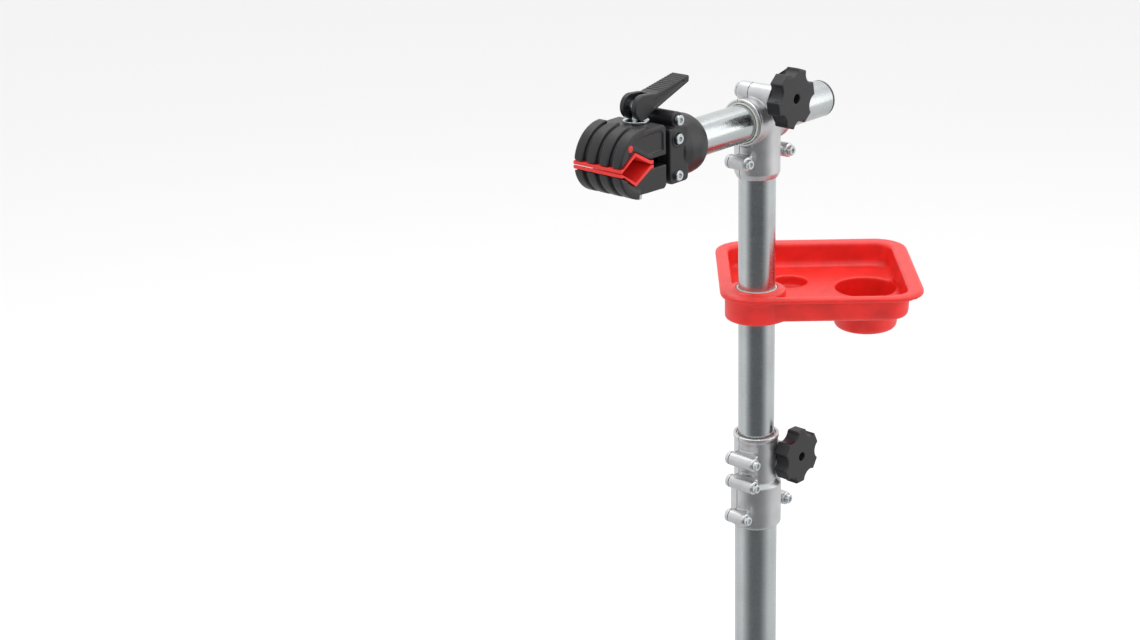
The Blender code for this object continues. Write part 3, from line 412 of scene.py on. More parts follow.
def edge_marks(mesh):
    """Store how far each point stands out (edge) or lies in (hollow), from 0 to 1."""
    count = len(mesh.vertices)
    places = np.empty(count * 3)
    normals = np.empty(count * 3)
    mesh.vertices.foreach_get("co", places)
    mesh.vertex_normals.foreach_get("vector", normals)
    places, normals = places.reshape(-1, 3), normals.reshape(-1, 3)
    ends = np.empty(len(mesh.edges) * 2, dtype=np.int64)
    mesh.edges.foreach_get("vertices", ends)
    ends = ends.reshape(-1, 2)
    both = np.concatenate((ends, ends[:, ::-1]))
    away = places[both[:, 0]] - places[both[:, 1]]
    length = np.maximum((away ** 2).sum(axis=1), 1e-9)
    bend = 2 * (away * normals[both[:, 0]]).sum(axis=1) / length
    total = np.bincount(both[:, 0], weights=bend, minlength=count)
    share = np.maximum(np.bincount(both[:, 0], minlength=count), 1)
    curve = total / share
    for _ in range(2):
        spread = np.bincount(both[:, 0], weights=curve[both[:, 1]], minlength=count) / share
        curve = 0.5 * curve + 0.5 * spread
    for name, value in (("edge", (curve - 110.0) / 420.0), ("hollow", (-curve - 60.0) / 300.0)):
        layer = mesh.attributes.new(name, "FLOAT", "POINT")
        layer.data.foreach_set("value", np.clip(value, 0.0, 1.0).astype(np.float32))


def own_axes(mesh, matrix):
    """Store each point's place in the piece's own axes, for patterns that follow the piece."""
    count = len(mesh.vertices)
    places = np.empty(count * 3)
    mesh.vertices.foreach_get("co", places)
    places = np.c_[places.reshape(-1, 3), np.ones(count)]
    own = places @ np.array(matrix.inverted()).T
    layer = mesh.attributes.new("own", "FLOAT_VECTOR", "POINT")
    layer.data.foreach_set("vector", own[:, :3].astype(np.float32).ravel())


def piece(name, mesh, look, body, nodes=(), axes=UPRIGHT, crease=38.0):
    """Finished piece: mesh in place, shading, material, and what it stands for."""
    mesh.name = name
    mesh.materials.clear()
    mesh.materials.append(look)
    mesh.shade_smooth()
    if crease < 180.0:
        mesh.set_sharp_from_angle(angle=math.radians(crease))
        item = scratch(mesh)
        step = item.modifiers.new("normals", "WEIGHTED_NORMAL")
        step.keep_sharp = True
        mesh = baked(item)
        mesh.name = name
    edge_marks(mesh)
    own_axes(mesh, axes)
    item = bpy.data.objects.new(name, mesh)
    bpy.context.scene.collection.objects.link(item)
    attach(item, body)
    if nodes:
        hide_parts(*nodes)
    return item


# ---- Shader node helpers ------------------------------------------------------------
def add(tree, kind, inputs=None, **settings):
    """Shader node with its settings and inputs; an input may be a value or another node's socket."""
    node = tree.nodes.new(kind)
    for key, value in settings.items():
        setattr(node, key, value)
    for key, value in (inputs or {}).items():
        socket = node.inputs[key]
        if isinstance(value, bpy.types.NodeSocket):
            tree.links.new(value, socket)
        else:
            socket.default_value = value
    return node


def sums(tree, operation, first, second=0.5):
    return add(tree, "ShaderNodeMath", {0: first, 1: second}, operation=operation).outputs[0]


def remap(tree, value, low, high, to_low=0.0, to_high=1.0):
    node = add(tree, "ShaderNodeMapRange", {"Value": value, "From Min": low, "From Max": high,
                                            "To Min": to_low, "To Max": to_high})
    return node.outputs["Result"]


def stretched(tree, vector, scale):
    return add(tree, "ShaderNodeMapping", {"Vector": vector, "Scale": scale}).outputs["Vector"]


def noise(tree, vector, scale, detail=3.0, roughness=0.55):
    return add(tree, "ShaderNodeTexNoise", {"Vector": vector, "Scale": scale, "Detail": detail,
                                            "Roughness": roughness}).outputs["Fac"]


def cells(tree, vector, scale, feature="F1"):
    node = add(tree, "ShaderNodeTexVoronoi", {"Vector": vector, "Scale": scale}, feature=feature)
    return node.outputs["Distance"]


def mixed(tree, share, first, second):
    node = add(tree, "ShaderNodeMix", data_type="RGBA")
    for socket, value in ((node.inputs[0], share), (node.inputs[6], first), (node.inputs[7], second)):
        if isinstance(value, bpy.types.NodeSocket):
            tree.links.new(value, socket)
        else:
            socket.default_value = value if isinstance(value, float) else (*value[:3], 1.0)
    return node.outputs[2]


def effect(name, inputs, outputs):
    """Empty shader node group with named sockets; build it once, then place it with placed()."""
    tree = bpy.data.node_groups.new(name, "ShaderNodeTree")
    for label, kind, value in inputs:
        socket = tree.interface.new_socket(name=label, in_out="INPUT", socket_type=kind)
        if value is not None:
            socket.default_value = value
    for label in outputs:
        tree.interface.new_socket(name=label, in_out="OUTPUT", socket_type="NodeSocketFloat")
    return tree, tree.nodes.new("NodeGroupInput"), tree.nodes.new("NodeGroupOutput")


def placed(tree, name, inputs):
    node = tree.nodes.new("ShaderNodeGroup")
    node.node_tree = bpy.data.node_groups[name]
    for key, value in inputs.items():
        if isinstance(value, bpy.types.NodeSocket):
            tree.links.new(value, node.inputs[key])
        else:
            node.inputs[key].default_value = value
    return node.outputs


VECTOR = "NodeSocketVector"
NUMBER = "NodeSocketFloat"


def build_effects():
    """The effects that several finishes share."""
    if "fine_grain" in bpy.data.node_groups:
        return
    tree, given, result = effect("fine_grain", (("Vector", VECTOR, None), ("Fineness", NUMBER, 3000.0)),
                                 ("Height", "Mask"))
    small = noise(tree, given.outputs["Vector"], given.outputs["Fineness"], 4.0, 0.6)
    pits = cells(tree, given.outputs["Vector"], sums(tree, "MULTIPLY", given.outputs["Fineness"], 0.7))
    tree.links.new(sums(tree, "ADD", sums(tree, "MULTIPLY", small, 0.6), sums(tree, "MULTIPLY", pits, 0.4)),
                   result.inputs["Height"])
    tree.links.new(remap(tree, small, 0.42, 0.62), result.inputs["Mask"])

    tree, given, result = effect("cloudy_tone", (("Vector", VECTOR, None), ("Size", NUMBER, 30.0)),
                                 ("Broad", "Fine"))
    broad = noise(tree, given.outputs["Vector"], given.outputs["Size"], 3.0, 0.5)
    fine = noise(tree, given.outputs["Vector"], sums(tree, "MULTIPLY", given.outputs["Size"], 9.0), 5.0, 0.65)
    tree.links.new(remap(tree, broad, 0.30, 0.70), result.inputs["Broad"])
    tree.links.new(remap(tree, fine, 0.35, 0.65), result.inputs["Fine"])

    tree, given, result = effect("worn_edges", (("Edge", NUMBER, 0.0), ("Vector", VECTOR, None),
                                                ("Reach", NUMBER, 0.5)), ("Mask",))
    broken = noise(tree, given.outputs["Vector"], 260.0, 5.0, 0.7)
    rubbed = sums(tree, "ADD", given.outputs["Edge"], sums(tree, "MULTIPLY", sums(
        tree, "SUBTRACT", broken, 0.5), 0.9))
    start = sums(tree, "SUBTRACT", 1.0, given.outputs["Reach"])
    tree.links.new(remap(tree, rubbed, start, sums(tree, "ADD", start, 0.25)), result.inputs["Mask"])

    tree, given, result = effect("drawn_lines", (("Vector", VECTOR, None), ("Lines", NUMBER, 900.0)),
                                 ("Height", "Tone"))
    lines = noise(tree, stretched(tree, given.outputs["Vector"], (1.0, 1.0, 0.012)),
                  given.outputs["Lines"], 3.0, 0.6)
    wide = noise(tree, stretched(tree, given.outputs["Vector"], (1.0, 1.0, 0.03)),
                 sums(tree, "MULTIPLY", given.outputs["Lines"], 0.14), 2.0, 0.5)
    tree.links.new(lines, result.inputs["Height"])
    tree.links.new(remap(tree, wide, 0.32, 0.68), result.inputs["Tone"])

    tree, given, result = effect("light_scratches", (("Vector", VECTOR, None), ("Amount", NUMBER, 0.5)),
                                 ("Mask",))
    strokes = []
    for turn, spin in ((0.0, 0.35), (0.9, -0.5), (2.2, 1.1)):
        turned_vector = add(tree, "ShaderNodeVectorRotate", {"Vector": given.outputs["Vector"],
                                                             "Rotation": (spin, turn, turn * 1.7)},
                            rotation_type="EULER_XYZ").outputs[0]
        stroke = cells(tree, stretched(tree, turned_vector, (1.0, 0.05, 1.0)), 150.0, "DISTANCE_TO_EDGE")
        presence = noise(tree, turned_vector, 38.0, 2.0)
        thin = remap(tree, stroke, 0.0, 0.018, 1.0, 0.0)
        strokes.append(sums(tree, "MULTIPLY", thin, remap(tree, presence, 0.52, 0.62)))
    total = sums(tree, "ADD", sums(tree, "ADD", strokes[0], strokes[1]), strokes[2])
    tree.links.new(sums(tree, "MULTIPLY", total, given.outputs["Amount"]), result.inputs["Mask"])


def new_finish(name):
    look = bpy.data.materials.new(name)
    look.use_nodes = True
    tree = look.node_tree
    shader = tree.nodes["Principled BSDF"]
    own = add(tree, "ShaderNodeAttribute", attribute_name="own").outputs["Vector"]
    edge = add(tree, "ShaderNodeAttribute", attribute_name="edge").outputs["Fac"]
    hollow = add(tree, "ShaderNodeAttribute", attribute_name="hollow").outputs["Fac"]
    return look, tree, shader, own, edge, hollow


def bump(tree, shader, height, distance, strength=1.0):
    node = add(tree, "ShaderNodeBump", {"Height": height, "Distance": distance, "Strength": strength})
    tree.links.new(node.outputs["Normal"], shader.inputs["Normal"])


def tinted(tone, factor):
    return tuple(min(1.0, channel * factor) for channel in tone)


def plated_metal(name, tone, rough, lines=900.0, relief=0.000002):
    """Zinc plated steel: drawn lines along the piece, cloudy plating and a few scratches."""
    look, tree, shader, own, edge, _hollow = new_finish(name)
    cloud = placed(tree, "cloudy_tone", {"Vector": own, "Size": 28.0})
    drawn = placed(tree, "drawn_lines", {"Vector": own, "Lines": lines})
    marks = placed(tree, "light_scratches", {"Vector": own, "Amount": 0.7})["Mask"]
    base = mixed(tree, cloud["Broad"], tinted(tone, 0.93), tinted(tone, 1.06))
    base = mixed(tree, sums(tree, "MULTIPLY", drawn["Tone"], 0.35), base, tinted(tone, 0.80))
    base = mixed(tree, sums(tree, "MULTIPLY", cloud["Fine"], 0.10), base, tinted(tone, 0.78))
    base = mixed(tree, sums(tree, "MULTIPLY", marks, 0.5), base, tinted(tone, 1.25))
    tree.links.new(base, shader.inputs["Base Color"])
    roughness = sums(tree, "ADD", remap(tree, cloud["Fine"], 0.0, 1.0, rough - 0.04, rough + 0.06),
                     sums(tree, "MULTIPLY", drawn["Tone"], 0.06))
    roughness = sums(tree, "SUBTRACT", roughness, sums(tree, "MULTIPLY", edge, 0.06))
    tree.links.new(roughness, shader.inputs["Roughness"])
    shader.inputs["Metallic"].default_value = 1.0
    height = sums(tree, "ADD", drawn["Height"], sums(tree, "MULTIPLY", cloud["Fine"], 0.15))
    bump(tree, shader, height, relief)
    return look


def cast_metal(name, tone):
    """Tumbled aluminium casting: grainy skin, bright rubbed edges and dull inner corners."""
    look, tree, shader, own, edge, hollow = new_finish(name)
    grain = placed(tree, "fine_grain", {"Vector": own, "Fineness": 2300.0})
    cloud = placed(tree, "cloudy_tone", {"Vector": own, "Size": 60.0})
    worn = placed(tree, "worn_edges", {"Edge": edge, "Vector": own, "Reach": 0.55})["Mask"]
    marks = placed(tree, "light_scratches", {"Vector": own, "Amount": 0.6})["Mask"]
    base = mixed(tree, cloud["Broad"], tinted(tone, 0.88), tinted(tone, 1.03))
    base = mixed(tree, sums(tree, "MULTIPLY", grain["Mask"], 0.20), base, tinted(tone, 0.70))
    base = mixed(tree, sums(tree, "MULTIPLY", worn, 0.8), base, tinted(tone, 1.25))
    # painted shade: colour darkened where the surface lies in a hollow, standing in for shade in the inner
    # corners
    base = mixed(tree, sums(tree, "MULTIPLY", hollow, 0.55), base, tinted(tone, 0.45))
    base = mixed(tree, sums(tree, "MULTIPLY", marks, 0.4), base, tinted(tone, 1.2))
    tree.links.new(base, shader.inputs["Base Color"])
    roughness = remap(tree, cloud["Fine"], 0.0, 1.0, 0.32, 0.42)
    roughness = sums(tree, "SUBTRACT", roughness, sums(tree, "MULTIPLY", worn, 0.16))
    tree.links.new(roughness, shader.inputs["Roughness"])
    shader.inputs["Metallic"].default_value = 0.92
    bump(tree, shader, sums(tree, "ADD", grain["Height"], sums(tree, "MULTIPLY", marks, -0.4)), 0.00006, 0.55)
    return look


def moulded_plastic(name, tone, rough, relief, fineness=2600.0, scuffed=0.5, rubbed=1.8):
    """Glass-filled moulding: spark-eroded grain, edges polished by handling, faint scuffs."""
    look, tree, shader, own, edge, hollow = new_finish(name)
    grain = placed(tree, "fine_grain", {"Vector": own, "Fineness": fineness})
    cloud = placed(tree, "cloudy_tone", {"Vector": own, "Size": 45.0})
    worn = placed(tree, "worn_edges", {"Edge": edge, "Vector": own, "Reach": 0.45})["Mask"]
    marks = placed(tree, "light_scratches", {"Vector": own, "Amount": scuffed})["Mask"]
    base = mixed(tree, cloud["Broad"], tinted(tone, 0.86), tinted(tone, 1.12))
    base = mixed(tree, sums(tree, "MULTIPLY", worn, 0.55), base, tinted(tone, rubbed))
    base = mixed(tree, sums(tree, "MULTIPLY", marks, 0.30), base, tinted(tone, rubbed * 1.3))
    # painted shade: colour darkened where the surface lies in a hollow
    base = mixed(tree, sums(tree, "MULTIPLY", hollow, 0.5), base, tinted(tone, 0.6))
    tree.links.new(base, shader.inputs["Base Color"])
    roughness = remap(tree, cloud["Fine"], 0.0, 1.0, rough - 0.05, rough + 0.07)
    roughness = sums(tree, "SUBTRACT", roughness, sums(tree, "MULTIPLY", worn, 0.12))
    tree.links.new(roughness, shader.inputs["Roughness"])
    height = sums(tree, "SUBTRACT", grain["Height"], sums(tree, "MULTIPLY", marks, 0.3))
    bump(tree, shader, height, relief, 0.6)
    return look


def soft_rubber(name, tone, rough, lines):
    """Soft rubber: fine matt skin with shallow moulded lines across it."""
    look, tree, shader, own, edge, hollow = new_finish(name)
    grain = placed(tree, "fine_grain", {"Vector": own, "Fineness": 1900.0})
    cloud = placed(tree, "cloudy_tone", {"Vector": own, "Size": 70.0})
    worn = placed(tree, "worn_edges", {"Edge": edge, "Vector": own, "Reach": 0.5})["Mask"]
    base = mixed(tree, cloud["Broad"], tinted(tone, 0.85), tinted(tone, 1.15))
    base = mixed(tree, sums(tree, "MULTIPLY", worn, 0.45), base, tinted(tone, 1.5))
    # painted shade: colour darkened where the surface lies in a hollow, such as grooves and inner corners
    base = mixed(tree, sums(tree, "MULTIPLY", hollow, 0.4), base, tinted(tone, 0.6))
    tree.links.new(base, shader.inputs["Base Color"])
    roughness = remap(tree, cloud["Fine"], 0.0, 1.0, rough - 0.05, rough + 0.08)
    tree.links.new(roughness, shader.inputs["Roughness"])
    wave = add(tree, "ShaderNodeTexWave", {"Vector": own, "Scale": lines, "Distortion": 0.0},
               bands_direction="Z").outputs["Fac"]
    height = sums(tree, "ADD", sums(tree, "MULTIPLY", grain["Height"], 0.35),
                  sums(tree, "MULTIPLY", wave, 0.3))
    bump(tree, shader, height, 0.00010, 0.6)
    return look


def build_finishes():
    """Every finish, made once."""
    build_effects()
    if "tray_polypropylene" in bpy.data.materials:
        return
    chosen = finish_settings()
    plated_metal("zinc_plated_tube", chosen.zinc_tone, 0.26)
    plated_metal("zinc_plated_screw", tinted(chosen.zinc_tone, 1.15), 0.22, 1800.0, 0.000002)
    cast_metal("cast_alloy", chosen.alloy_tone)
    moulded_plastic("head_moulding", chosen.moulding_black, 0.38, 0.00005, rubbed=2.2)
    moulded_plastic("knob_moulding", tinted(chosen.moulding_black, 1.1), 0.42, 0.00008, 1500.0, rubbed=2.2)
    moulded_plastic("tray_polypropylene", chosen.tray_red, 0.36, 0.00002, 2200.0, 0.25, 1.15)
    moulded_plastic("nylon_sleeve", (0.66, 0.66, 0.61), 0.42, 0.00002, 2400.0, 0.3, 1.1)
    soft_rubber("pad_rubber", chosen.pad_red, 0.50, 60.0)
    soft_rubber("foot_rubber", (0.021, 0.021, 0.022), 0.72, 40.0)


def finish(name):
    build_finishes()
    return bpy.data.materials[name]


# ---- Geometry Nodes -----------------------------------------------------------------
def node_tree(name, inputs):
    """Geometry node group with named size inputs and a material input."""
    tree = bpy.data.node_groups.new(name, "GeometryNodeTree")
    tree.interface.new_socket(name="Geometry", in_out="INPUT", socket_type="NodeSocketGeometry")
    for label, kind, value in inputs:
        tree.interface.new_socket(name=label, in_out="INPUT", socket_type=kind).default_value = value
    tree.interface.new_socket(name="Material", in_out="INPUT", socket_type="NodeSocketMaterial")
    tree.interface.new_socket(name="Geometry", in_out="OUTPUT", socket_type="NodeSocketGeometry")
    return tree, tree.nodes.new("NodeGroupInput").outputs, tree.nodes.new("NodeGroupOutput")


def closing(tree, geometry, given, result):
    """End a tree with Realize Instances and Set Material."""
    real = add(tree, "GeometryNodeRealizeInstances", {"Geometry": geometry}).outputs["Geometry"]
    shown = add(tree, "GeometryNodeSetMaterial", {"Geometry": real, "Material": given["Material"]})
    tree.links.new(shown.outputs["Geometry"], result.inputs["Geometry"])


def grown(mesh, name, values, look):
    """Run a geometry node group on a mesh and return the plain result."""
    item = scratch(mesh)
    step = item.modifiers.new("grow", "NODES")
    step.node_group = bpy.data.node_groups[name]
    names = {socket.name: socket.identifier for socket in step.node_group.interface.items_tree
             if socket.in_out == "INPUT"}
    for label, value in {**values, "Material": look}.items():
        step[names[label]] = value
    return baked(item)


def lifted(tree, geometry, height):
    place = add(tree, "ShaderNodeCombineXYZ", {"Z": height}).outputs["Vector"]
    node = add(tree, "GeometryNodeTransform", {"Geometry": geometry, "Translation": place})
    return node.outputs["Geometry"]


def round_solid(tree, sides, radius, depth, top=None):
    """Cylinder or cone standing on its own origin."""
    if top is None:
        solid = add(tree, "GeometryNodeMeshCylinder", {"Vertices": sides, "Radius": radius, "Depth": depth})
        return lifted(tree, solid.outputs["Mesh"], sums(tree, "MULTIPLY", depth, 0.5))
    return add(tree, "GeometryNodeMeshCone", {"Vertices": sides, "Radius Top": top, "Radius Bottom": radius,
                                              "Depth": depth}).outputs["Mesh"]


def boolean(tree, operation, first, *others):
    node = add(tree, "GeometryNodeMeshBoolean", operation=operation, solver="EXACT")
    if operation == "DIFFERENCE":
        tree.links.new(first, node.inputs[0])
    for other in (others if operation == "DIFFERENCE" else (first, *others)):
        tree.links.new(other, node.inputs[1])
    return node.outputs["Mesh"]


def build_trees():
    """Screws, bolts with nuts and rows of ribs, each as one geometry node group."""
    if "cap_screws" in bpy.data.node_groups:
        return
    tree, given, result = node_tree("cap_screws", (
        ("Head Radius", NUMBER, 0.005), ("Head Height", NUMBER, 0.004), ("Chamfer", NUMBER, 0.0006),
        ("Key Radius", NUMBER, 0.0026), ("Key Depth", NUMBER, 0.0022), ("Shank Radius", NUMBER, 0.003),
        ("Shank Length", NUMBER, 0.01), ("Key Sides", "NodeSocketInt", 6)))
    straight = sums(tree, "SUBTRACT", given["Head Height"], given["Chamfer"])
    head = round_solid(tree, 40, given["Head Radius"], straight)
    slope = round_solid(tree, 40, given["Head Radius"], given["Chamfer"],
                        sums(tree, "SUBTRACT", given["Head Radius"], given["Chamfer"]))
    shank = lifted(tree, round_solid(tree, 24, given["Shank Radius"], sums(
        tree, "ADD", given["Shank Length"], 0.0005)), sums(tree, "MULTIPLY", given["Shank Length"], -1.0))
    screw = boolean(tree, "UNION", head, lifted(tree, slope, straight), shank)
    key = round_solid(tree, given["Key Sides"], given["Key Radius"], given["Head Height"])
    key = lifted(tree, key, sums(tree, "SUBTRACT", given["Head Height"], given["Key Depth"]))
    screw = boolean(tree, "DIFFERENCE", screw, key)
    facing = add(tree, "GeometryNodeInputNamedAttribute", {"Name": "facing"}, data_type="FLOAT_VECTOR")
    turn = add(tree, "FunctionNodeAlignRotationToVector", {"Vector": facing.outputs["Attribute"]}, axis="Z")
    spread = add(tree, "GeometryNodeInstanceOnPoints", {"Points": given["Geometry"], "Instance": screw,
                                                        "Rotation": turn.outputs["Rotation"]})
    closing(tree, spread.outputs["Instances"], given, result)

    tree, given, result = node_tree("row_of_ribs", (
        ("Count", "NodeSocketInt", 4), ("Pitch", VECTOR, (0, 0.01, 0)), ("Start", VECTOR, (0, 0, 0))))
    line = add(tree, "GeometryNodeMeshLine", {"Count": given["Count"], "Start Location": given["Start"],
                                              "Offset": given["Pitch"]})
    spread = add(tree, "GeometryNodeInstanceOnPoints", {"Points": line.outputs["Mesh"],
                                                        "Instance": given["Geometry"]})
    closing(tree, spread.outputs["Instances"], given, result)


def point_cloud(places):
    """Loose points with the way that each screw's head faces."""
    mesh = bpy.data.meshes.new("places")
    mesh.from_pydata([tuple(matrix.translation) for matrix in places], [], [])
    layer = mesh.attributes.new("facing", "FLOAT_VECTOR", "POINT")
    ways = [tuple((matrix.to_3x3() @ Vector((0, 0, 1))).normalized()) for matrix in places]
    layer.data.foreach_set("vector", np.array(ways, dtype=np.float32).ravel())
    return mesh


def screws(name, places, values, body, nodes, look="zinc_plated_screw"):
    """Screws whose seats are the given matrices, heads towards each matrix's Z."""
    build_trees()
    mesh = grown(point_cloud(places), "cap_screws", values, finish(look))
    return piece(name, mesh, finish(look), body, nodes, places[0], crease=30.0)


def rib_row(mesh, count, pitch, start=(0.0, 0.0, 0.0)):
    build_trees()
    return grown(mesh, "row_of_ribs", {"Count": count, "Pitch": pitch, "Start": start},
                 finish("head_moulding"))


# ---- Tubes and sleeves --------------------------------------------------------------
def make_tubes():
    zinc, slot = finish("zinc_plated_tube"), "zinc_tube"
    low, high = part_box("upper_tube")
    axis = at()
    piece("upper_tube_plated", sleeve(TUBE_RADIUS - TUBE_WALL, TUBE_RADIUS, low[2] - CROSSING.z,
                                      high[2] - CROSSING.z, axis, 0.0004, 128),
          zinc, "post", ["upper_tube"], axis)
    low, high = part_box("arm_tube")
    axis = at() @ ALONG_X
    piece("arm_tube_plated", sleeve(TUBE_RADIUS - TUBE_WALL, TUBE_RADIUS, low[0] - CROSSING.x,
                                    high[0] - CROSSING.x, axis, 0.0004, 128),
          zinc, "arm", ["arm_tube"], axis)
    low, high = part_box("lower_tube")
    axis = at()
    piece("lower_tube_plated", sleeve(LOWER_RADIUS - LOWER_WALL, LOWER_RADIUS, low[2] - CROSSING.z,
                                      high[2] - CROSSING.z, axis, 0.0004, 128),
          zinc, "base", ["lower_tube"], axis)
    low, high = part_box("arm_end_cap")
    start, face = high[0] - CROSSING.x, low[0] - CROSSING.x
    bore = TUBE_RADIUS - TUBE_WALL - FIT
    lip = face + 0.003
    profile = [(0.0, start), (bore - 0.001, start), (bore, lip), (TUBE_RADIUS, lip),
               (TUBE_RADIUS, face + 0.0008), (TUBE_RADIUS - 0.0022, face), (0.010, face),
               (0.009, face + 0.0009), (0.0, face + 0.0009)]
    cap = turned(round_corners(profile, 0.0005, 3, closed=False), at() @ ALONG_X)
    piece("arm_end_plug", cap, finish("head_moulding"), "arm", ["arm_end_cap"],
          at() @ ALONG_X)
    low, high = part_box("lower_tube_plug")
    top, base = high[2] - CROSSING.z, low[2] - CROSSING.z
    bore = LOWER_RADIUS - LOWER_WALL - FIT
    profile = [(0.0, top), (bore, top), (bore, base + 0.0037), (LOWER_RADIUS, base + 0.0037),
               (LOWER_RADIUS, base + 0.001), (LOWER_RADIUS - 0.002, base), (0.0, base)]
    piece("lower_tube_end_plug", turned(round_corners(profile, 0.0006, 3, closed=False), at()),
          finish("head_moulding"), "base", ["lower_tube_plug"], at())


def make_sleeves():
    nylon = finish("nylon_sleeve")
    inner = TUBE_RADIUS + FIT
    for name, node, body, along in (("collar_sleeve_nylon", "collar_liner", "collar_sleeve", 2),
                                    ("arm_sleeve_nylon", "arm_liner", "arm_sleeve", 0),
                                    ("tray_sleeve_nylon", "tray_bush", "tray_sleeve", 2)):
        low, high = (corner[along] - CROSSING[along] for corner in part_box(node))
        axis = at() @ (ALONG_X if along == 0 else UPRIGHT)
        mesh = sleeve(inner, SLEEVE_RADIUS, low, high, axis)
        piece(name, mesh, nylon, body, [node], axis)
    low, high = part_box("upper_tube_guide")
    bore = TUBE_RADIUS - TUBE_WALL - FIT
    rim = high[2] - CROSSING.z - 0.020
    profile = [(0.0, high[2] - CROSSING.z), (bore, high[2] - CROSSING.z), (bore, rim), (0.02045, rim),
               (0.02045, low[2] - CROSSING.z), (0.0, low[2] - CROSSING.z)]
    piece("upper_tube_guide_nylon", turned(round_corners(profile, 0.0004, 3, closed=False), at()), nylon,
          "post", ["upper_tube_guide"], at())


# ---- Castings -----------------------------------------------------------------------
def lug(x, z, front, inner_x):
    """Cast lug along Y with a rounded back, and the web that joins it to the casting."""
    side = 1 if x > 0 else -1
    outline = round_corners([(0.0, front), (LUG_RADIUS, front), (LUG_RADIUS, -LUG_REAR), (0.0, -LUG_REAR)],
                            [0, 0.0008, 0.0045, 0], 5, closed=False)
    shape = turned(outline, at(x, 0, z) @ ALONG_Y, segments=48)
    low_x, high_x = sorted((side * inner_x, x))
    web_half = LUG_RADIUS * 0.72
    web = block((low_x, -LUG_REAR + 0.003, -web_half), (high_x, front - 0.005, web_half), at(0, 0, z), 0.001)
    return shape, web


def screw_room(x, z):
    return bar(SCREW_HOLE, -0.0095, 0.06, at(x, 0, z) @ ALONG_Y, segments=32)


def halves(shape, names, nodes, body):
    """Cut a finished casting along its seam into its front and rear half."""
    look = finish("cast_alloy")
    sides = ((names[0], nodes[0], SEAM + SEAM_GAP / 2, 1.0), (names[1], nodes[1], SEAM - SEAM_GAP / 2, -1.0))
    for name, node, edge, way in sides:
        half = kept_side(shape, (0.0, CROSSING.y + edge, 0.0), (0.0, way, 0.0))
        piece(name, half, look, body, [node], at(), crease=60.0)


def make_tee():
    bead = CLAMP_RADIUS + 0.0009
    ring = turned(round_corners([(0.0, RING_HALF), (bead, RING_HALF), (bead, RING_HALF - 0.0035),
                                 (CLAMP_RADIUS, RING_HALF - 0.0042), (CLAMP_RADIUS, -RING_HALF + 0.0042),
                                 (bead, -RING_HALF + 0.0035), (bead, -RING_HALF), (0.0, -RING_HALF)],
                                0.0004, 3, closed=False), at() @ ALONG_X)
    socket = turned([(0.0, 0.0), (SOCKET_RADIUS, 0.0), (SOCKET_RADIUS, -SOCKET_DEPTH + 0.0060),
                     (TUBE_RADIUS + 0.0016, -SOCKET_DEPTH), (0.0, -SOCKET_DEPTH)], at())
    ear = turned(round_corners([(0.0, 0.0228), (EAR_RADIUS, 0.0228), (EAR_RADIUS, -0.021), (0.0, -0.021)],
                               [0, 0.0008, 0.0032, 0], 5, closed=False), at(0, 0, EAR_HEIGHT) @ ALONG_Y,
                 segments=64)
    neck = block((-EAR_RADIUS * 0.93, -0.0185, 0.010), (EAR_RADIUS * 0.93, 0.0205, EAR_HEIGHT), at(), 0.001)
    lugs = []
    for x in (LUG_OUT, -LUG_OUT):
        lugs += lug(x, TEE_LUG_HEIGHT, TEE_LUG_FRONT, SOCKET_RADIUS - 0.004)
    shape = fused(ring, socket, ear, neck, *lugs)
    shape = carved(shape, bar(CLAMP_BORE, -0.1, 0.1, at() @ ALONG_X),
                   bar(TUBE_RADIUS + FIT, -0.1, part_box("upper_tube")[1][2] - CROSSING.z + FIT, at()),
                   bar(BOLT_HOLE, -0.05, 0.05, at(0, 0, EAR_HEIGHT) @ ALONG_Y, segments=32),
                   screw_room(LUG_OUT, TEE_LUG_HEIGHT), screw_room(-LUG_OUT, TEE_LUG_HEIGHT))
    shape = softened(shape, sizes().casting_detail)
    halves(shape, ("tee_casting_front", "tee_casting_rear"), ("tee_clamp_front", "tee_clamp_rear"), "post")
    places = [at(x, TEE_LUG_FRONT, TEE_LUG_HEIGHT) @ ALONG_Y for x in (LUG_OUT, -LUG_OUT)]
    screws("tee_cap_screws", places, {"Shank Length": 0.022}, "post",
           ["tee_screw_jaw_side", "tee_screw_tail_side"])


def collar_lugs():
    """Place along X, drop and front face of each screw lug of the collar."""
    return ((LUG_OUT, COLLAR_TOP - 0.021, 0.025), (LUG_OUT, COLLAR_TOP - 0.047, 0.025),
            (0.0356, COLLAR_TOP - 0.087, 0.015), (-0.0356, COLLAR_TOP - 0.087, 0.015))


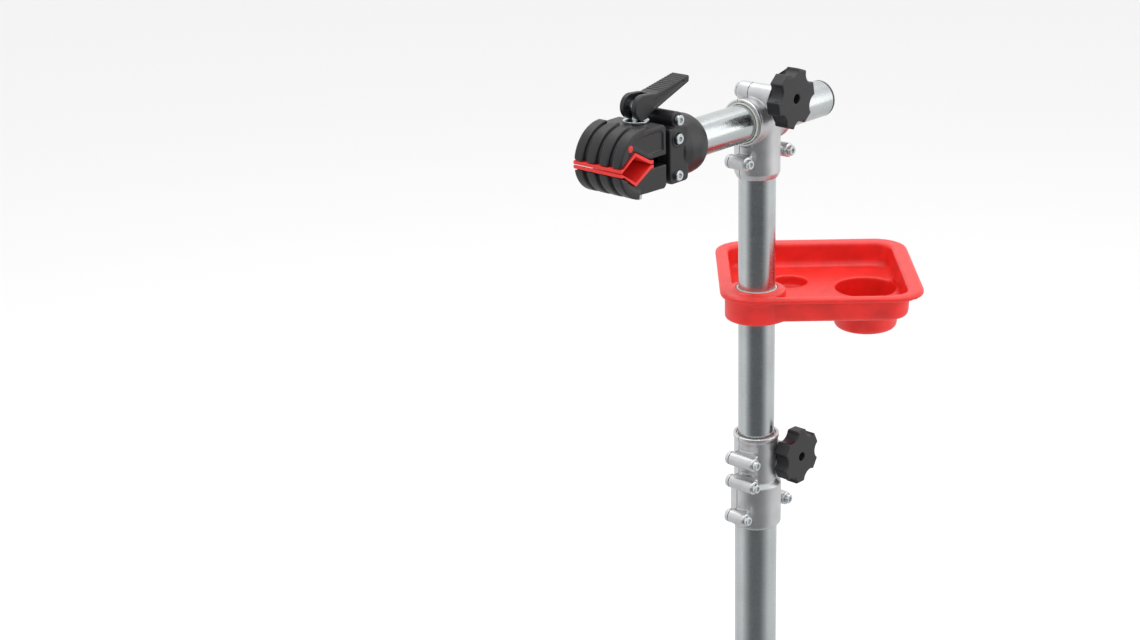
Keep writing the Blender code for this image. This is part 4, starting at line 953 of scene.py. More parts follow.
def make_collar():
    top = COLLAR_TOP
    lip = CLAMP_RADIUS + 0.0010
    profile = [(0.0, top), (lip, top), (lip, top - 0.0042), (CLAMP_RADIUS, top - 0.0056),
               (CLAMP_RADIUS, top - 0.0515), (COLLAR_BODY_RADIUS, top - 0.057),
               (COLLAR_BODY_RADIUS, top - 0.1025), (COLLAR_BODY_RADIUS - 0.0022, top - 0.105),
               (0.0, top - 0.105)]
    shape = turned(round_corners(profile, 0.0006, 3, closed=False), at())
    extra = []
    for x, z, front in collar_lugs():
        extra += lug(x, z, front, CLAMP_RADIUS - 0.002)
    ear_z = top - 0.028
    ear = turned(round_corners([(0.0, 0.0144), (EAR_RADIUS, 0.0144), (EAR_RADIUS, -0.016), (0.0, -0.016)],
                               [0, 0.0008, 0.0030, 0], 5, closed=False), at(-KNOB_OFFSET, 0, ear_z) @ ALONG_Y,
                 segments=64)
    web = block((-KNOB_OFFSET, -0.013, -0.0078), (-CLAMP_RADIUS + 0.004, 0.0105, 0.0078),
                at(0, 0, ear_z), 0.001)
    shape = fused(shape, ear, web, *extra)
    shape = carved(shape, bar(CLAMP_BORE, top - 0.12, top + 0.01, at()),
                   bar(LOWER_RADIUS + FIT, top - 0.12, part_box("lower_tube")[1][2] - CROSSING.z + FIT, at()),
                   bar(BOLT_HOLE, -0.05, 0.05, at(-KNOB_OFFSET, 0, ear_z) @ ALONG_Y, segments=32),
                   *[screw_room(x, z) for x, z, _front in collar_lugs()])
    shape = softened(shape, sizes().casting_detail)
    halves(shape, ("collar_casting_front", "collar_casting_rear"), ("collar_front", "collar_rear"), "base")


def at_pivot(turn):
    return at(0, 0, PIVOT_DROP) @ Matrix.Rotation(turn, 4, "Z") @ Matrix.Translation((PIVOT_REACH, 0, 0))


def leg_axes(turn):
    """Frame on a leg's axis: Z runs from its pivot towards its foot."""
    return at_pivot(turn) @ Matrix.Rotation(math.radians(90.0) + LEG_TILT, 4, "Y")


def pivot_axes(turn):
    """Frame on a leg's pivot bolt: Z runs along the bolt."""
    return at_pivot(turn) @ ALONG_Y


def make_hub():
    low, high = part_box("leg_hub")
    base, top = low[2] - CROSSING.z, high[2] - CROSSING.z
    hub_radius = LOWER_RADIUS + FIT + 0.0072
    profile = [(0.0, top), (hub_radius - 0.002, top), (hub_radius, top - 0.002), (hub_radius, base + 0.002),
               (hub_radius - 0.002, base), (0.0, base)]
    shape = turned(round_corners(profile, 0.0006, 3, closed=False), at())
    cheeks, rooms = [], []
    for turn in LEG_TURNS.values():
        around = at(0, 0, 0) @ Matrix.Rotation(turn, 4, "Z")
        cheeks.append(block((LOWER_RADIUS + 0.004, -0.019, base + 0.003), (0.064, 0.019, top - 0.004),
                            around, 0.003))
        reach = LEG_RADIUS + FIT
        centre = (PIVOT_REACH, PIVOT_DROP)
        side = math.degrees(LEG_TILT)
        points = arc(centre, reach, 180, 90 - side, 20)
        way = (math.cos(LEG_TILT), -math.sin(LEG_TILT))
        far = (centre[0] + 0.06 * way[0] + reach * math.sin(LEG_TILT),
               centre[1] + 0.06 * way[1] + reach * math.cos(LEG_TILT))
        points += [far, (far[0], PIVOT_DROP - 0.10), (PIVOT_REACH - reach, PIVOT_DROP - 0.10)]
        rooms.append(prism(points, -0.0128, 0.0128, around @ SIDE_VIEW))
        rooms.append(bar(BOLT_HOLE, -0.05, 0.05, pivot_axes(turn), segments=32))
    shape = fused(shape, *cheeks)
    shape = carved(shape, *rooms, bar(LOWER_RADIUS + FIT, base - 0.01, top + 0.01, at()))
    shape = softened(shape, sizes().casting_detail * 1.15)
    piece("leg_hub_casting", shape, finish("cast_alloy"), "base", ["leg_hub"], at(),
          crease=60.0)


# ---- Star knobs ---------------------------------------------------------------------
def star_outline(radius, turn):
    """Flat-ended lobes with round hollows between them."""
    lobes, hollow = sizes().knob_lobes, sizes().knob_hollow
    step = math.tau / lobes
    half_end = radius * 0.235
    points, bends = [], []
    for lobe in range(lobes):
        corners = []
        here, following = turn + lobe * step, turn + (lobe + 1) * step
        for angle, side in ((here, -1), (here, 1), (following, -1)):
            along = Vector((math.cos(angle), math.sin(angle)))
            corners.append(along * radius + Vector((-along.y, along.x)) * half_end * side)
        first, second, third = corners
        points += [tuple(first), tuple(second)]
        bends += [0.0012, 0.0012]
        inward = -((second + third) / 2).normalized()
        for part in range(1, 12):
            share = part / 12
            dip = hollow * (1 - (2 * share - 1) ** 2) ** 0.7
            points.append(tuple(second + (third - second) * share + inward * dip))
            bends.append(0.0)
    return round_corners(points, bends, 5)


def star_knob(name, x, z, rear, turn, body, node):
    axis = at(x, 0, z) @ ALONG_Y
    lobes_at = rear + 0.008
    front = lobes_at + 0.0155
    shape = prism(star_outline(0.0296, turn), lobes_at, front, axis, 0.0016, 4)
    boss = turned(round_corners([(0.0, front - 0.004), (0.0128, lobes_at + 0.003), (0.0115, rear),
                                 (0.0, rear)], [0, 0, 0.0008, 0], 4, closed=False), axis, segments=64)
    shape = melted(0.0005, shape, boss)
    dish = turned(round_corners([(0.0, front + 0.01), (0.0052, front + 0.01), (0.0048, front - 0.0004),
                                 (0.0048, front - 0.0065), (0.0, front - 0.0065)], 0.0002, 2, closed=False),
                  axis, segments=48)
    shape = carved(shape, dish, bar(BOLT_HOLE, rear - 0.01, front, axis, segments=32))
    shape = softened(shape, 0.0006, 3)
    return piece(name, shape, finish("knob_moulding"), body, [node], axis, crease=60.0)


def carriage_bolt(name, x, z, rear, front, body, node):
    """Domed bolt through a clamp's ears, its end seen in the knob's eye."""
    profile = [(0.0, front), (0.0034, front), (0.0040, front - 0.0008), (0.0040, -rear - FIT),
               (0.0080, -rear - FIT), (0.0079, -rear - 0.0016)]
    dome = [(0.0079 * math.cos(math.radians(t)), -rear - 0.0016 - 0.0028 * math.sin(math.radians(t)))
            for t in (18, 36, 54, 72)]
    profile += dome + [(0.0, -rear - 0.0045)]
    axis = at(x, 0, z) @ ALONG_Y
    piece(name, turned(profile, axis, segments=48), finish("zinc_plated_screw"), body,
          [node], axis, crease=35.0)


def make_knobs():
    for prefix, x, z, front_seat, rear_seat, turn, star, washer, fixed in (
            ("arm", 0.0, EAR_HEIGHT, 0.0228, 0.0210, math.radians(11.0), "arm_star", "arm_washer", "post"),
            ("height", -KNOB_OFFSET, COLLAR_TOP - 0.028, 0.0144, 0.0160, math.radians(28.0), "height_star",
             "height_washer", "base")):
        rear = front_seat + FIT + 0.0016 + FIT
        star_knob(prefix + "_star_knob", x, z, rear, turn, star, prefix + "_knob")
        axis = at(x, 0, z) @ ALONG_Y
        disc = sleeve(BOLT_HOLE, 0.0085, front_seat + FIT, front_seat + FIT + 0.0016, axis, 0.0003, 64)
        piece(prefix + "_washer_disc", disc, finish("zinc_plated_screw"), washer,
              [prefix + "_knob_washer"], axis)
        carriage_bolt(prefix + "_carriage_bolt", x, z, rear_seat, rear + 0.0235 - 0.0065, fixed,
                      prefix + "_knob_bolt")


# ---- Clamp head ---------------------------------------------------------------------
def make_head():
    end = 0.147
    radius = HEAD_BULB_RADIUS
    profile = [(0.0, end), (radius * 0.94, end), (radius, end - 0.010), (radius, HEAD_START + 0.0145),
               (radius * 0.965, HEAD_START + 0.0075), (radius * 0.85, HEAD_START + 0.0015),
               (radius * 0.78, HEAD_START), (0.0, HEAD_START)]
    shape = turned(round_corners(profile, [0, 0.001, 0.003, 0.006, 0.004, 0.002, 0.001, 0], 4, closed=False),
                   at() @ ALONG_X)
    half_height = radius * 0.9
    cheek = round_corners([(end - 0.006, -half_height), (HEAD_MOUTH, -half_height), (HEAD_MOUTH, half_height),
                           (end - 0.006, half_height)], 0.004, 4)
    extra = [prism(cheek, -HEAD_HALF_WIDTH, HEAD_HALF_WIDTH, at() @ SIDE_VIEW, 0.0012)]
    for x, z in HEAD_SCREWS[:2]:
        extra.append(bar(0.0078, -HEAD_HALF_WIDTH, HEAD_HALF_WIDTH, at(x, 0, z) @ ALONG_Y, 0.0012, 48))
        low_z, high_z = sorted((z, z * 0.55))
        extra.append(block((x - 0.0066, -HEAD_HALF_WIDTH + 0.002, low_z),
                           (x + 0.0066, HEAD_HALF_WIDTH - 0.002, high_z), at(), 0.001))
    extra.append(bar(0.0078, HEAD_HALF_WIDTH - 0.004, HEAD_HALF_WIDTH + 0.0012, at(0.157, 0, 0.016) @ ALONG_Y,
                     0.0008, 48))
    shape = fused(shape, *extra)
    tongue = 0.0123
    rooms = [bar(TUBE_RADIUS + FIT, HEAD_START - 0.01, HEAD_START + 0.0353, at() @ ALONG_X),
             block((0.1485, -tongue, -half_height - 0.01),
                   (HEAD_MOUTH + 0.01, tongue, half_height + 0.001), at())]
    for x, z in HEAD_SCREWS:
        rooms.append(bar(SCREW_HOLE, -0.024, 0.06, at(x, 0, z) @ ALONG_Y, segments=32))
        rooms.append(bar(0.0058, HEAD_HALF_WIDTH - FIT, 0.06, at(x, 0, z) @ ALONG_Y, segments=48))
    shape = carved(shape, *rooms)
    shape = softened(shape, sizes().moulding_detail, 3)
    look = finish("head_moulding")
    for name, node, edge, way in (("head_front_moulding", "head_shell_front", FIT / 2, 1.0),
                                  ("head_rear_moulding", "head_shell_rear", -FIT / 2, -1.0)):
        half = kept_side(shape, (0.0, CROSSING.y + edge, 0.0), (0.0, way, 0.0))
        piece(name, half, look, "arm", [node], at() @ ALONG_X, crease=60.0)
    places = [at(x, HEAD_HALF_WIDTH, z) @ ALONG_Y for x, z in HEAD_SCREWS]
    screws("head_cap_screws", places, {"Shank Length": 0.045}, "arm",
           ["head_screw_top", "head_screw_bottom", "jaw_pivot_screw"])


def jaw_side(upper, shrink=0.0):
    """Side view of a jaw with its V groove, the upper jaw's way up, X and Z from the arm's axis."""
    radius = (0.0365 if upper else 0.0300) - 0.0035 - shrink
    top = (0.0334 if upper else 0.0275) - shrink
    lip = 0.0042 + shrink
    centre_x = JAW_TIP - 0.0035 - shrink - radius
    start = math.degrees(math.asin(lip / radius))
    rise = math.degrees(math.asin(min(top / radius, 0.999)))
    rear = JAW_REAR + shrink
    points = arc((centre_x, 0.0), radius, start, rise, 14)
    points += [(rear + 0.003, top), (rear, top - 0.003), (rear, 0.0045 + shrink), (0.1935, 0.0045 + shrink),
               (0.1975 + shrink * 0.4, lip), (0.2190, 0.0120 + lip)]
    return points


def rib_side(upper):
    """Side view of one rib: a curved band over the jaw's nose and top."""
    radius = 0.0365 if upper else 0.0300
    centre_x = JAW_TIP - radius
    start = math.degrees(math.asin(0.0042 / radius))
    end = 90 if upper else 84
    inner = arc((centre_x, 0.0), radius - 0.0085, end, start + 14, 16)
    return arc((centre_x, 0.0), radius, start, end, 24) + inner


def jaw_moulding(name, node, upper, body):
    flip = 1 if upper else -1
    view = at() @ SIDE_VIEW @ Matrix.Diagonal((1, flip, flip, 1))
    half = JAW_HALF_WIDTH
    core = prism(jaw_side(upper), -half + 0.0010, half - 0.0010, view, 0.0007)
    width = sizes().jaw_rib_width
    count = sizes().jaw_ribs
    rib = prism(rib_side(upper), -half, -half + width, view, 0.0016, 4)
    pitch = (2 * half - width) / (count - 1)
    ribs = rib_row(rib, count, (0.0, -pitch if upper else pitch, 0.0))
    pin = (0.157, 0.016) if upper else (0.158, 0.019)
    tongue = arc(pin, 0.0075, 90, 270, 14)
    tongue += [(JAW_REAR + 0.010, pin[1] - 0.0075), (JAW_REAR + 0.010, pin[1] + 0.0075)]
    shape = melted(sizes().moulding_detail, core, ribs, prism(tongue, -0.012, 0.012, view, 0.0006))
    slot = 0.0046
    rooms = [bar(SCREW_HOLE, -0.05, 0.05, at(pin[0], 0, flip * pin[1]) @ ALONG_Y, segments=32),
             block((STUD_AT - slot - (0.003 if upper else 0), -slot, -0.05),
                   (STUD_AT + slot + (0.0056 if upper else 0), slot, 0.05), at()),
             bar(0.0074, -0.0075, 0.0075, at(STUD_AT), segments=48)]
    if not upper:
        rooms.append(bar(0.0068, -0.0375, -0.0225, at(STUD_AT), segments=6))
    # shallow panel on each side face, inside the jaw's outer border
    panel = jaw_side(upper, 0.0045)
    for side in (-1, 1):
        low, high = sorted((side * (half - 0.0024), side * (half + 0.002)))
        rooms.append(prism(panel, low, high, view))
    shape = carved(shape, *rooms)
    shape = softened(shape, sizes().moulding_detail, 3, 0.5)
    piece(name, shape, finish("head_moulding"), body, [node], at() @ ALONG_X, crease=60.0)


def pad_side():
    """V-shaped strip in side view: lip, slope up, slope down and a short tail."""
    low, thick = 0.0004, 0.0035
    tip = JAW_TIP - 0.0003
    lower = [(tip, low), (tip - 0.0015, low), (0.2190, 0.0120 + low), (0.1975, low), (0.1940, low)]
    upper = [(0.1940, low + thick), (0.1975, low + thick), (0.2190, 0.0120 + low + thick),
             (tip - 0.0045, low + thick), (tip, low + thick)]
    return round_corners(lower + upper, [0.0008, 0, 0.0012, 0.0006, 0.0006, 0.0006, 0, 0.001, 0, 0.0012], 4)


def make_jaws():
    jaw_moulding("upper_jaw_moulding", "upper_jaw", True, "top_jaw")
    jaw_moulding("lower_jaw_moulding", "lower_jaw", False, "arm")
    rubber = finish("pad_rubber")
    for name, node, flip, body in (("upper_pad_strip", "upper_jaw_pad", 1, "top_jaw"),
                                   ("lower_pad_strip", "lower_jaw_pad", -1, "arm")):
        view = at() @ SIDE_VIEW @ Matrix.Diagonal((1, flip, flip, 1))
        strip = prism(pad_side(), -JAW_HALF_WIDTH - 0.0005, JAW_HALF_WIDTH + 0.0005, view, 0.0006)
        piece(name, strip, rubber, body, [node], at() @ ALONG_Y)
    pegs = []
    for side in (-1, 1):
        peg = round_corners([(0.0, 0.0296), (0.0034, 0.0296), (0.0038, 0.0255), (0.0, 0.0255)],
                            [0, 0.0016, 0.0003, 0], 5, closed=False)
        way = ALONG_Y if side > 0 else ALONG_Y.inverted()
        pegs.append(turned(peg, at(0.2254, 0, 0.0205) @ way, segments=32))
    piece("pad_pegs", joined(*pegs), rubber, "top_jaw", (), at() @ ALONG_Y)


def make_lever():
    view = at() @ SIDE_VIEW
    cam = (STUD_AT, CAM_HEIGHT)
    top_rear, tip = (0.1665, 0.0583), (0.1180, 0.0640)
    outline = arc(cam, CAM_RADIUS, -140, 100, 28)
    outline += [(0.1720, 0.0592), top_rear, (tip[0] + 0.002, tip[1] + 0.0034), (tip[0], tip[1] + 0.0022),
                (tip[0] + 0.0006, tip[1] - 0.0032)]
    bends = [0.0] * 29 + [0.002, 0.002, 0.0012, 0.0012, 0.0012]
    outline = round_corners(outline, bends, 3)
    half = LEVER_HALF_WIDTH
    body = prism(outline, -half, half, view, 0.0009)
    gap = 0.0047
    slope = math.atan2(tip[1] + 0.0034 - top_rear[1], top_rear[0] - tip[0] - 0.002)
    cam_axis = at(STUD_AT, 0, CAM_HEIGHT) @ ALONG_Y
    rooms = [bar(0.0063, -half + 0.0014, half - 0.0014, cam_axis, segments=48),
             block((STUD_AT - gap - FIT, -gap, 0.0), (STUD_AT + 0.05, gap, 0.1), at()),
             block((STUD_AT - 0.0125, -gap, CAM_HEIGHT - 0.006),
                   (STUD_AT + 0.05, gap, CAM_HEIGHT + 0.03), at())]
    # shallow panel in each side of the grip
    panel = round_corners([(0.1700, 0.0530), (0.1260, 0.0640), (0.1255, 0.0622), (0.1700, 0.0445)], 0.0015, 4)
    for side in (-1, 1):
        low, high = sorted((side * (half - 0.0010), side * (half + 0.002)))
        rooms.append(prism(panel, low, high, view))
    groove = block((-0.0008, -half - 0.001, -0.0011), (0.0008, half + 0.001, 0.0030))
    count = sizes().grip_ridges
    reach = 0.0385
    grooves = rib_row(groove, count, (reach / (count - 1), 0.0, 0.0))
    grooves = moved(grooves, at(tip[0] + 0.0035, 0, tip[1] + 0.0034) @ Matrix.Rotation(slope, 4, "Y"))
    body = softened(carved(body, *rooms, grooves), 0.00042, 2, 0.5)
    piece("cam_lever_moulding", body, finish("head_moulding"), "lever", ["cam_lever"],
          at(tip[0], 0, tip[1]), crease=60.0)
    axis = at(STUD_AT)
    disc = sleeve(BOLT_HOLE, 0.0125, 0.0337, 0.0357, axis, 0.0004, 64)
    piece("saddle_disc", disc, finish("zinc_plated_screw"), "saddle", ["saddle_washer"], axis)
    shank = bar(0.0040, -0.041, CAM_HEIGHT + 0.004, axis, 0.0008, 48)
    pin = bar(0.0060, -half + 0.0018, half - 0.0018, cam_axis, 0.0006, 48)
    threads = [(0.0, -0.0412)]
    low = -0.0410
    while low < -0.0290:
        threads += [(0.00345, low), (0.0042, low + 0.00035), (0.0042, low + 0.00055), (0.00345, low + 0.0009)]
        low += 0.00125
    threads += [(0.0, low)]
    stud = fused(pin, shank, turned(threads, axis, segments=40))
    piece("cam_stud", stud, finish("zinc_plated_screw"), "stud", ["clamp_stud"], axis,
          crease=30.0)
    nut = prism(hexagon(0.0064), -0.0275, -0.0228, axis, 0.0004, 2)
    nut = carved(nut, bar(BOLT_HOLE, -0.05, 0.0, axis, segments=32))
    piece("stud_hex_nut", nut, finish("zinc_plated_screw"), "arm", ["stud_nut"], axis,
          crease=30.0)


# ---- Tool tray ----------------------------------------------------------------------
def rounded_box(low, high, radius):
    return round_corners([low, (high[0], low[1]), high, (low[0], high[1])], radius, 10)


def pocket(floor, mouth, foot, base, corner, steps, place):
    """Room of a round pocket in the tray's floor, with a softened edge."""
    edge = 0.0010
    side = round_corners([(mouth, floor - edge), (foot, base), (0.0, base)], [0, corner, 0], steps,
                         closed=False)
    return turned([(0.0, floor + 0.004), (mouth + edge, floor + 0.004), (mouth + edge, floor),
                   (mouth + edge * 0.3, floor - edge * 0.3), (mouth, floor - edge)] + side[1:], place)


def loft(levels, matrix):
    """Closed solid through outlines of equal point counts, each at its own height."""
    bm = bmesh.new()
    rings = [[bm.verts.new((x, y, height)) for x, y in outline] for outline, height in levels]
    count = len(rings[0])
    for lower, upper in zip(rings, rings[1:]):
        for index in range(count):
            following = (index + 1) % count
            bm.faces.new((lower[index], lower[following], upper[following], upper[index]))
    bm.faces.new(rings[0][::-1])
    bm.faces.new(rings[-1])
    bmesh.ops.recalc_face_normals(bm, faces=bm.faces)
    bmesh.ops.transform(bm, matrix=matrix, verts=bm.verts)
    return mesh_from(bm)


def make_tray():
    wall, depth = 0.0028, 0.029
    rim = rounded_box((-0.038, -0.037), (0.171, 0.166), 0.034)
    side = rounded_box((-0.027, -0.029), (0.157, 0.152), 0.024)
    rim_levels = [(inset(rim, 0.0030), -0.0060), (inset(rim, 0.0006), -0.0056), (rim, -0.0046),
                  (rim, -0.0020), (inset(rim, 0.0005), -0.0009), (inset(rim, 0.0016), -0.0002),
                  (inset(rim, 0.0030), 0.0)]
    lip = loft(rim_levels, UPRIGHT)
    lip = carved(lip, prism(inset(rim, 0.0028), -0.010, -0.0030, UPRIGHT))
    draft = 0.0015
    outer_levels = [(inset(side, 0.0055 + draft), -depth), (inset(side, 0.0026 + draft), -depth + 0.0009),
                    (inset(side, 0.0008 + draft), -depth + 0.0028), (inset(side, draft), -depth + 0.0055),
                    (side, -0.001)]
    body = loft(outer_levels, UPRIGHT)
    cup_at, recess_at = Matrix.Translation((0.121, 0.075, 0)), Matrix.Translation((0.040, 0.098, 0))
    cup_low, recess_low = -depth - 0.041, -depth - 0.012
    cup = turned(round_corners([(0.0, -depth + 0.012), (0.0355, -depth + 0.012), (0.0335, cup_low),
                                (0.0, cup_low)], [0, 0, 0.006, 0], 6, closed=False), cup_at)
    recess = turned(round_corners([(0.0, -depth + 0.002), (0.0228, -depth + 0.002), (0.0222, recess_low),
                                   (0.0, recess_low)], [0, 0, 0.003, 0], 5, closed=False), recess_at)
    boss = bar(0.033, -depth - 0.0015, -0.0018, UPRIGHT, 0.0012)
    collar = bar(0.0241, -0.005, 0.0025, UPRIGHT, 0.0008)
    shape = melted(sizes().tray_detail * 0.8, lip, body, cup, recess, boss, collar)
    floor = -depth + wall
    fillet = 0.0075
    cavity_levels = []
    for step in range(7):
        turn = math.radians(90.0 * step / 6)
        cavity_levels.append((inset(side, wall + draft + fillet * (1 - math.sin(turn))),
                              floor + fillet * (1 - math.cos(turn))))
    cavity_levels += [(inset(side, wall + 0.0002), -0.0022), (inset(side, wall - 0.0006), -0.0008),
                      (inset(side, wall - 0.0024), 0.0), (inset(side, wall - 0.0030), 0.004)]
    cavity = loft(cavity_levels, UPRIGHT)
    keep = turned(round_corners([(0.0, 0.02), (0.0285, 0.02), (0.0300, -0.004), (0.0300, floor + 0.003),
                                 (0.034, floor - 0.004), (0.0, floor - 0.004)], [0, 0, 0, 0.002, 0, 0], 4,
                                closed=False), UPRIGHT)
    cavity = carved(cavity, keep)
    cup_room = pocket(floor, 0.0327, 0.0307, cup_low + wall, 0.006, 6, cup_at)
    recess_room = pocket(floor, 0.0198, 0.0192, recess_low + wall, 0.003, 5, recess_at)
    screw_turn = Matrix.Translation((0, 0, -depth / 2)) @ Matrix.Rotation(math.radians(45.0), 4, "Z")
    screw_turn = screw_turn @ ALONG_X
    shape = carved(shape, cavity, cup_room, recess_room, bar(0.0211, -0.1, 0.1),
                   bar(SCREW_HOLE, 0.0, 0.1, screw_turn, segments=32))
    shape = softened(shape, sizes().tray_detail, 3, 0.5)
    turn = at(0, 0, -TRAY_DROP) @ Matrix.Rotation(TRAY_TURN, 4, "Z")
    shape = moved(shape, turn)
    piece("tray_shell", shape, finish("tray_polypropylene"), "tray", ["tool_tray"], turn,
          crease=60.0)
    screws("tray_cap_screw", [turn @ screw_turn @ Matrix.Translation((0, 0, 0.033))],
           {"Shank Length": 0.0105}, "tray", ["tray_screw"])


# ---- Legs ---------------------------------------------------------------------------
def make_legs():
    side = math.degrees(LEG_TILT)
    for name, turn in LEG_TURNS.items():
        axis = leg_axes(turn)
        around = at(0, 0, 0) @ Matrix.Rotation(turn, 4, "Z") @ SIDE_VIEW
        pin = (PIVOT_REACH, PIVOT_DROP)
        way = Vector((math.cos(LEG_TILT), -math.sin(LEG_TILT)))
        square = Vector((math.sin(LEG_TILT), math.cos(LEG_TILT)))
        points = arc(pin, LEG_RADIUS, 90 - side, 270 - side, 24)
        for offset in (-LEG_RADIUS, LEG_RADIUS):
            corner = Vector(pin) + way * 0.045 + square * offset
            points.append(tuple(corner))
        eye = prism(points, -0.0125, 0.0125, around, 0.0011)
        window = []
        for distance, offset in ((0.014, -0.0085), (0.039, -0.0085), (0.039, 0.0085), (0.014, 0.0085)):
            window.append(tuple(Vector(pin) + way * distance + square * offset))
        rooms = [prism(round_corners(window, 0.003, 4), low, high, around)
                 for low, high in ((0.0105, 0.02), (-0.02, -0.0105))]
        eye = fused(eye, bar(LEG_RADIUS - 0.0018, 0.042, 0.075, axis, 0.001, 64))
        eye = carved(eye, bar(BOLT_HOLE, -0.05, 0.05, pivot_axes(turn), segments=32), *rooms)
        piece(name + "_eye_moulding", eye, finish("head_moulding"), name,
              [name + "_eye"], axis, crease=35.0)
        end = LEG_LENGTH - 0.006
        piece(name + "_tube_plated", sleeve(LEG_RADIUS - 0.0015, LEG_RADIUS, 0.0453, end, axis, 0.0004),
              finish("zinc_plated_tube"), name, [name + "_tube"], axis)
        low, high = LEG_LENGTH - 0.038, LEG_LENGTH + 0.012
        outer = 0.0170
        profile = [(LEG_RADIUS + FIT, low), (0.0160, low), (outer, low + 0.002)]
        rings = sizes().foot_rings
        for ring in range(rings):
            base = low + 0.006 + ring * 0.0065
            profile += [(outer, base), (outer - 0.0012, base + 0.0009), (outer - 0.0012, base + 0.0021),
                        (outer, base + 0.0030)]
        profile += [(outer, high - 0.003), (outer - 0.0012, high - 0.0008), (outer - 0.003, high),
                    (0.0, high), (0.0, end + FIT), (LEG_RADIUS + FIT, end + FIT)]
        bm = bmesh.new()
        bm.from_mesh(turned(profile, axis, closed=True, segments=96))
        bmesh.ops.remove_doubles(bm, verts=bm.verts, dist=1e-7)
        foot = kept_side(mesh_from(bm), (0.0, 0.0, 0.0), (0.0, 0.0, 1.0))
        piece(name + "_foot_rubber", foot, finish("foot_rubber"), name,
              [name + "_foot"], axis, crease=40.0)


# ---- Fasteners of the base ----------------------------------------------------------
def make_fasteners():
    places = [at(x, front, z) @ ALONG_Y for x, z, front in collar_lugs()]
    screws("collar_cap_screws", places, {"Shank Length": 0.022}, "base",
           ["collar_screw_1", "collar_screw_2", "collar_screw_3", "collar_screw_4"])
    low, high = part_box("leg_hub")
    centre = (low[2] + high[2]) / 2 - CROSSING.z
    reach = LOWER_RADIUS + FIT + 0.0072
    places = [at(0, 0, centre) @ Matrix.Rotation(turn + math.pi / 3, 4, "Z") @ ALONG_X
              @ Matrix.Translation((0, 0, reach + FIT)) for turn in LEG_TURNS.values()]
    screws("hub_cap_screws", places, {"Shank Length": 0.006}, "base",
           ["leg_hub_screw_1", "leg_hub_screw_2", "leg_hub_screw_3"])
    places = [pivot_axes(turn) @ Matrix.Translation((0, 0, 0.0193)) for turn in LEG_TURNS.values()]
    screws("leg_pivot_bolts", places,
           {"Head Radius": 0.008, "Head Height": 0.0042, "Chamfer": 0.0012, "Key Radius": 0.003,
            "Key Depth": 0.0025, "Shank Radius": 0.004, "Shank Length": 0.046}, "base",
           ["leg_pivot_bolt_1", "leg_pivot_bolt_2", "leg_pivot_bolt_3"])
    nuts = []
    for turn in LEG_TURNS.values():
        nut = prism(hexagon(0.0079), -0.0258, -0.0193, pivot_axes(turn), 0.0005, 2)
        nuts.append(carved(nut, bar(0.0042, -0.05, 0.0, pivot_axes(turn), segments=32)))
    piece("leg_pivot_nuts", joined(*nuts), finish("zinc_plated_screw"), "base",
          ["leg_pivot_nut_1", "leg_pivot_nut_2", "leg_pivot_nut_3"], at(), crease=30.0)
    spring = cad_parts["jaw_spring"]
    spring.data.materials.clear()
    spring.data.materials.append(finish("zinc_plated_screw"))


# ---- Stage --------------------------------------------------------------------------
CAMERA_DISTANCE = 1.87672
CAMERA_TURN = math.radians(52.50)
CAMERA_RISE = 0.46666
CAMERA_YAW = math.radians(-5.92)
CAMERA_PITCH = math.radians(19.88)
CAMERA_ROLL = math.radians(-1.78)
CAMERA_LENS = 60.46


def make_camera():
    data = bpy.data.cameras.new("camera")
    data.lens = CAMERA_LENS
    data.sensor_width = 36.0
    camera = bpy.data.objects.new("camera", data)
    bpy.context.scene.collection.objects.link(camera)
    outward = Vector((math.sin(CAMERA_TURN), math.cos(CAMERA_TURN), 0.0))
    level_right = Vector((-math.cos(CAMERA_TURN), math.sin(CAMERA_TURN), 0.0))
    forward = -outward * math.cos(CAMERA_YAW) + level_right * math.sin(CAMERA_YAW)
    right = level_right * math.cos(CAMERA_YAW) + outward * math.sin(CAMERA_YAW)
    forward = forward * math.cos(CAMERA_PITCH) + Vector((0.0, 0.0, -math.sin(CAMERA_PITCH)))
    up = right.cross(forward)
    right, up = (right * math.cos(CAMERA_ROLL) + up * math.sin(CAMERA_ROLL),
                 up * math.cos(CAMERA_ROLL) - right * math.sin(CAMERA_ROLL))
    turn = Matrix((right, up, -forward)).transposed().to_4x4()
    place = CROSSING + outward * CAMERA_DISTANCE + Vector((0.0, 0.0, CAMERA_RISE))
    camera.matrix_world = Matrix.Translation(place) @ turn
    bpy.context.scene.camera = camera
    return outward


def area_light(name, place, target, size, power):
    data = bpy.data.lights.new(name, "AREA")
    data.shape = "RECTANGLE"
    data.size, data.size_y = size
    data.energy = power
    lamp = bpy.data.objects.new(name, data)
    bpy.context.scene.collection.objects.link(lamp)
    lamp.location = place
    lamp.rotation_euler = (Vector(place) - Vector(target)).to_track_quat("Z", "Y").to_euler()
    return lamp


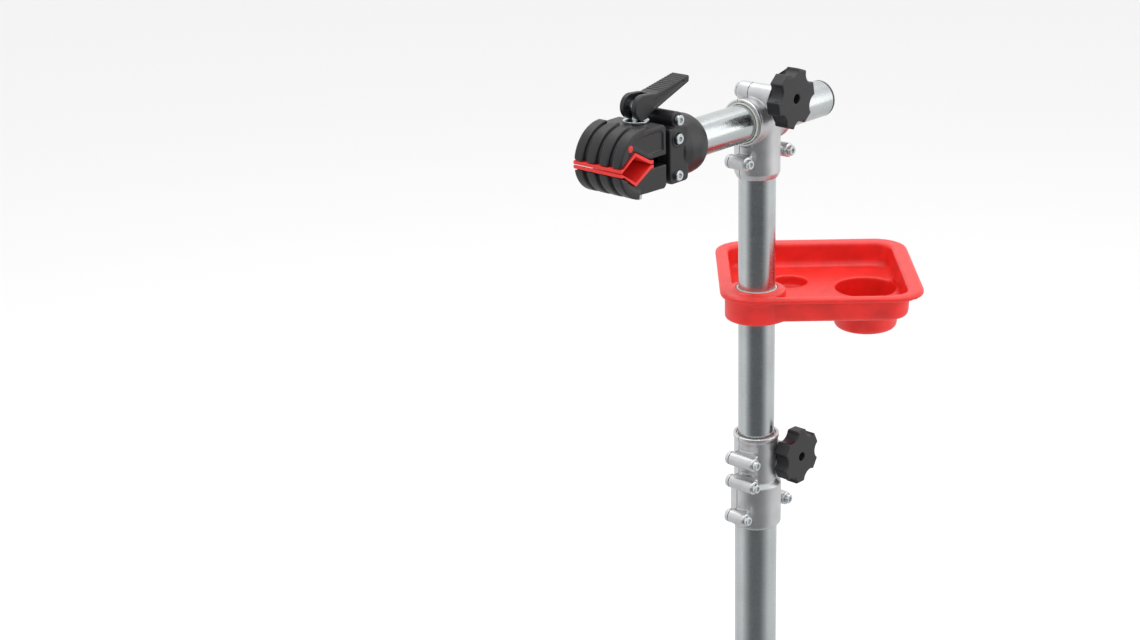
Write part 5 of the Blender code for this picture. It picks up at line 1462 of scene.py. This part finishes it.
def make_stage():
    chosen = bpy.context.scene.stand_stage
    outward = make_camera()
    floor = bpy.data.objects.new("floor", turned([(0.0, 0.0), (60.0, 0.0)], segments=96))
    bpy.context.scene.collection.objects.link(floor)
    look = bpy.data.materials.new("pale_floor")
    look.use_nodes = True
    shader = look.node_tree.nodes["Principled BSDF"]
    shader.inputs["Base Color"].default_value = (*chosen.floor_tone, 1.0)
    shader.inputs["Roughness"].default_value = 0.9
    floor.data.materials.append(look)
    floor.visible_glossy = False
    target = CROSSING + Vector((0.0, 0.0, -0.15))
    side = Vector((-outward.y, outward.x, 0.0))
    area_light("key_light", target + Vector((0, 0, 2.6)) - outward * 0.3, target, (3.4, 3.4),
               chosen.key_power)
    area_light("fill_light", target + side * 2.4 + Vector((0, 0, 0.9)), target, (1.6, 2.2),
               chosen.fill_power)
    world = bpy.data.worlds.new("studio")
    bpy.context.scene.world = world
    world.use_nodes = True
    tree = world.node_tree
    background = tree.nodes["Background"]
    way = add(tree, "ShaderNodeTexCoord").outputs["Generated"]
    dot = add(tree, "ShaderNodeVectorMath", {0: way, 1: outward}, operation="DOT_PRODUCT").outputs["Value"]
    height = add(tree, "ShaderNodeSeparateXYZ", {"Vector": way}).outputs["Z"]
    front = remap(tree, dot, 0.22, 0.80)
    below = remap(tree, height, 0.35, 0.0)
    shade = sums(tree, "MULTIPLY", front, below)
    tone = mixed(tree, shade, (1.0, 1.0, 1.0), (0.10, 0.105, 0.11))
    tone = mixed(tree, remap(tree, height, -0.9, 0.1, 0.5, 0.0), tone, (0.35, 0.35, 0.36))
    tree.links.new(tone, background.inputs["Color"])
    background.inputs["Strength"].default_value = chosen.sky_strength
    bpy.context.scene.view_settings.view_transform = "Standard"


# ---- Add-on -------------------------------------------------------------------------
STEPS = (
    ("stage", "Stage", "Floor, lights, backdrop tone and camera", make_stage),
    ("tubes", "Tubes and Plugs", "Plated tubes with their end plugs", make_tubes),
    ("sleeves", "Nylon Sleeves", "Nylon sleeves round the sliding tubes", make_sleeves),
    ("tee", "Tee Clamp", "Casting that holds the arm on the upper tube", make_tee),
    ("collar", "Collar", "Casting that joins the two upright tubes", make_collar),
    ("hub", "Leg Hub", "Casting that carries the three legs", make_hub),
    ("knobs", "Star Knobs", "Star knobs with their washers and bolts", make_knobs),
    ("head", "Clamp Head", "Two-part moulding that holds the jaws", make_head),
    ("jaws", "Jaws and Pads", "Ribbed jaws and their soft pads", make_jaws),
    ("lever", "Cam Lever", "Forked cam lever with its stud, washer and nut", make_lever),
    ("tray", "Tool Tray", "Moulded tray with its cup and recess", make_tray),
    ("legs", "Legs", "Leg eyes, tubes and rubber feet", make_legs),
    ("fasteners", "Base Fasteners", "Screws, bolts and nuts of the base", make_fasteners),
)


def operator_class(key, label, words, work):
    def execute(self, context):
        work()
        return {"FINISHED"}

    return type("STAND_OT_" + key, (bpy.types.Operator,), {
        "__doc__": words, "bl_idname": "repair_stand." + key, "bl_label": label, "execute": execute})


OPERATORS = [operator_class(*step) for step in STEPS]


class STAND_PT_panel(bpy.types.Panel):
    """Settings and steps of the repair stand"""
    bl_label = "Repair Stand"
    bl_idname = "STAND_PT_panel"
    bl_space_type = "VIEW_3D"
    bl_region_type = "UI"
    bl_category = "Repair Stand"

    def draw(self, context):
        for group in (context.scene.stand_finish, context.scene.stand_sizes, context.scene.stand_stage):
            for key in group.bl_rna.properties.keys():
                if key not in {"rna_type", "name"}:
                    self.layout.prop(group, key)
        for key, _label, _words, _work in STEPS:
            self.layout.operator("repair_stand." + key)


CLASSES = (StandFinish, StandSizes, StandStage, *OPERATORS, STAND_PT_panel)


def register():
    for item in CLASSES:
        bpy.utils.register_class(item)
    bpy.types.Scene.stand_finish = PointerProperty(type=StandFinish)
    bpy.types.Scene.stand_sizes = PointerProperty(type=StandSizes)
    bpy.types.Scene.stand_stage = PointerProperty(type=StandStage)


def unregister():
    for name in ("stand_finish", "stand_sizes", "stand_stage"):
        delattr(bpy.types.Scene, name)
    for item in reversed(CLASSES):
        bpy.utils.unregister_class(item)


def main():
    register()
    for key, _label, _words, _work in STEPS:
        getattr(bpy.ops.repair_stand, key)()


if __name__ == "__main__":
    main()
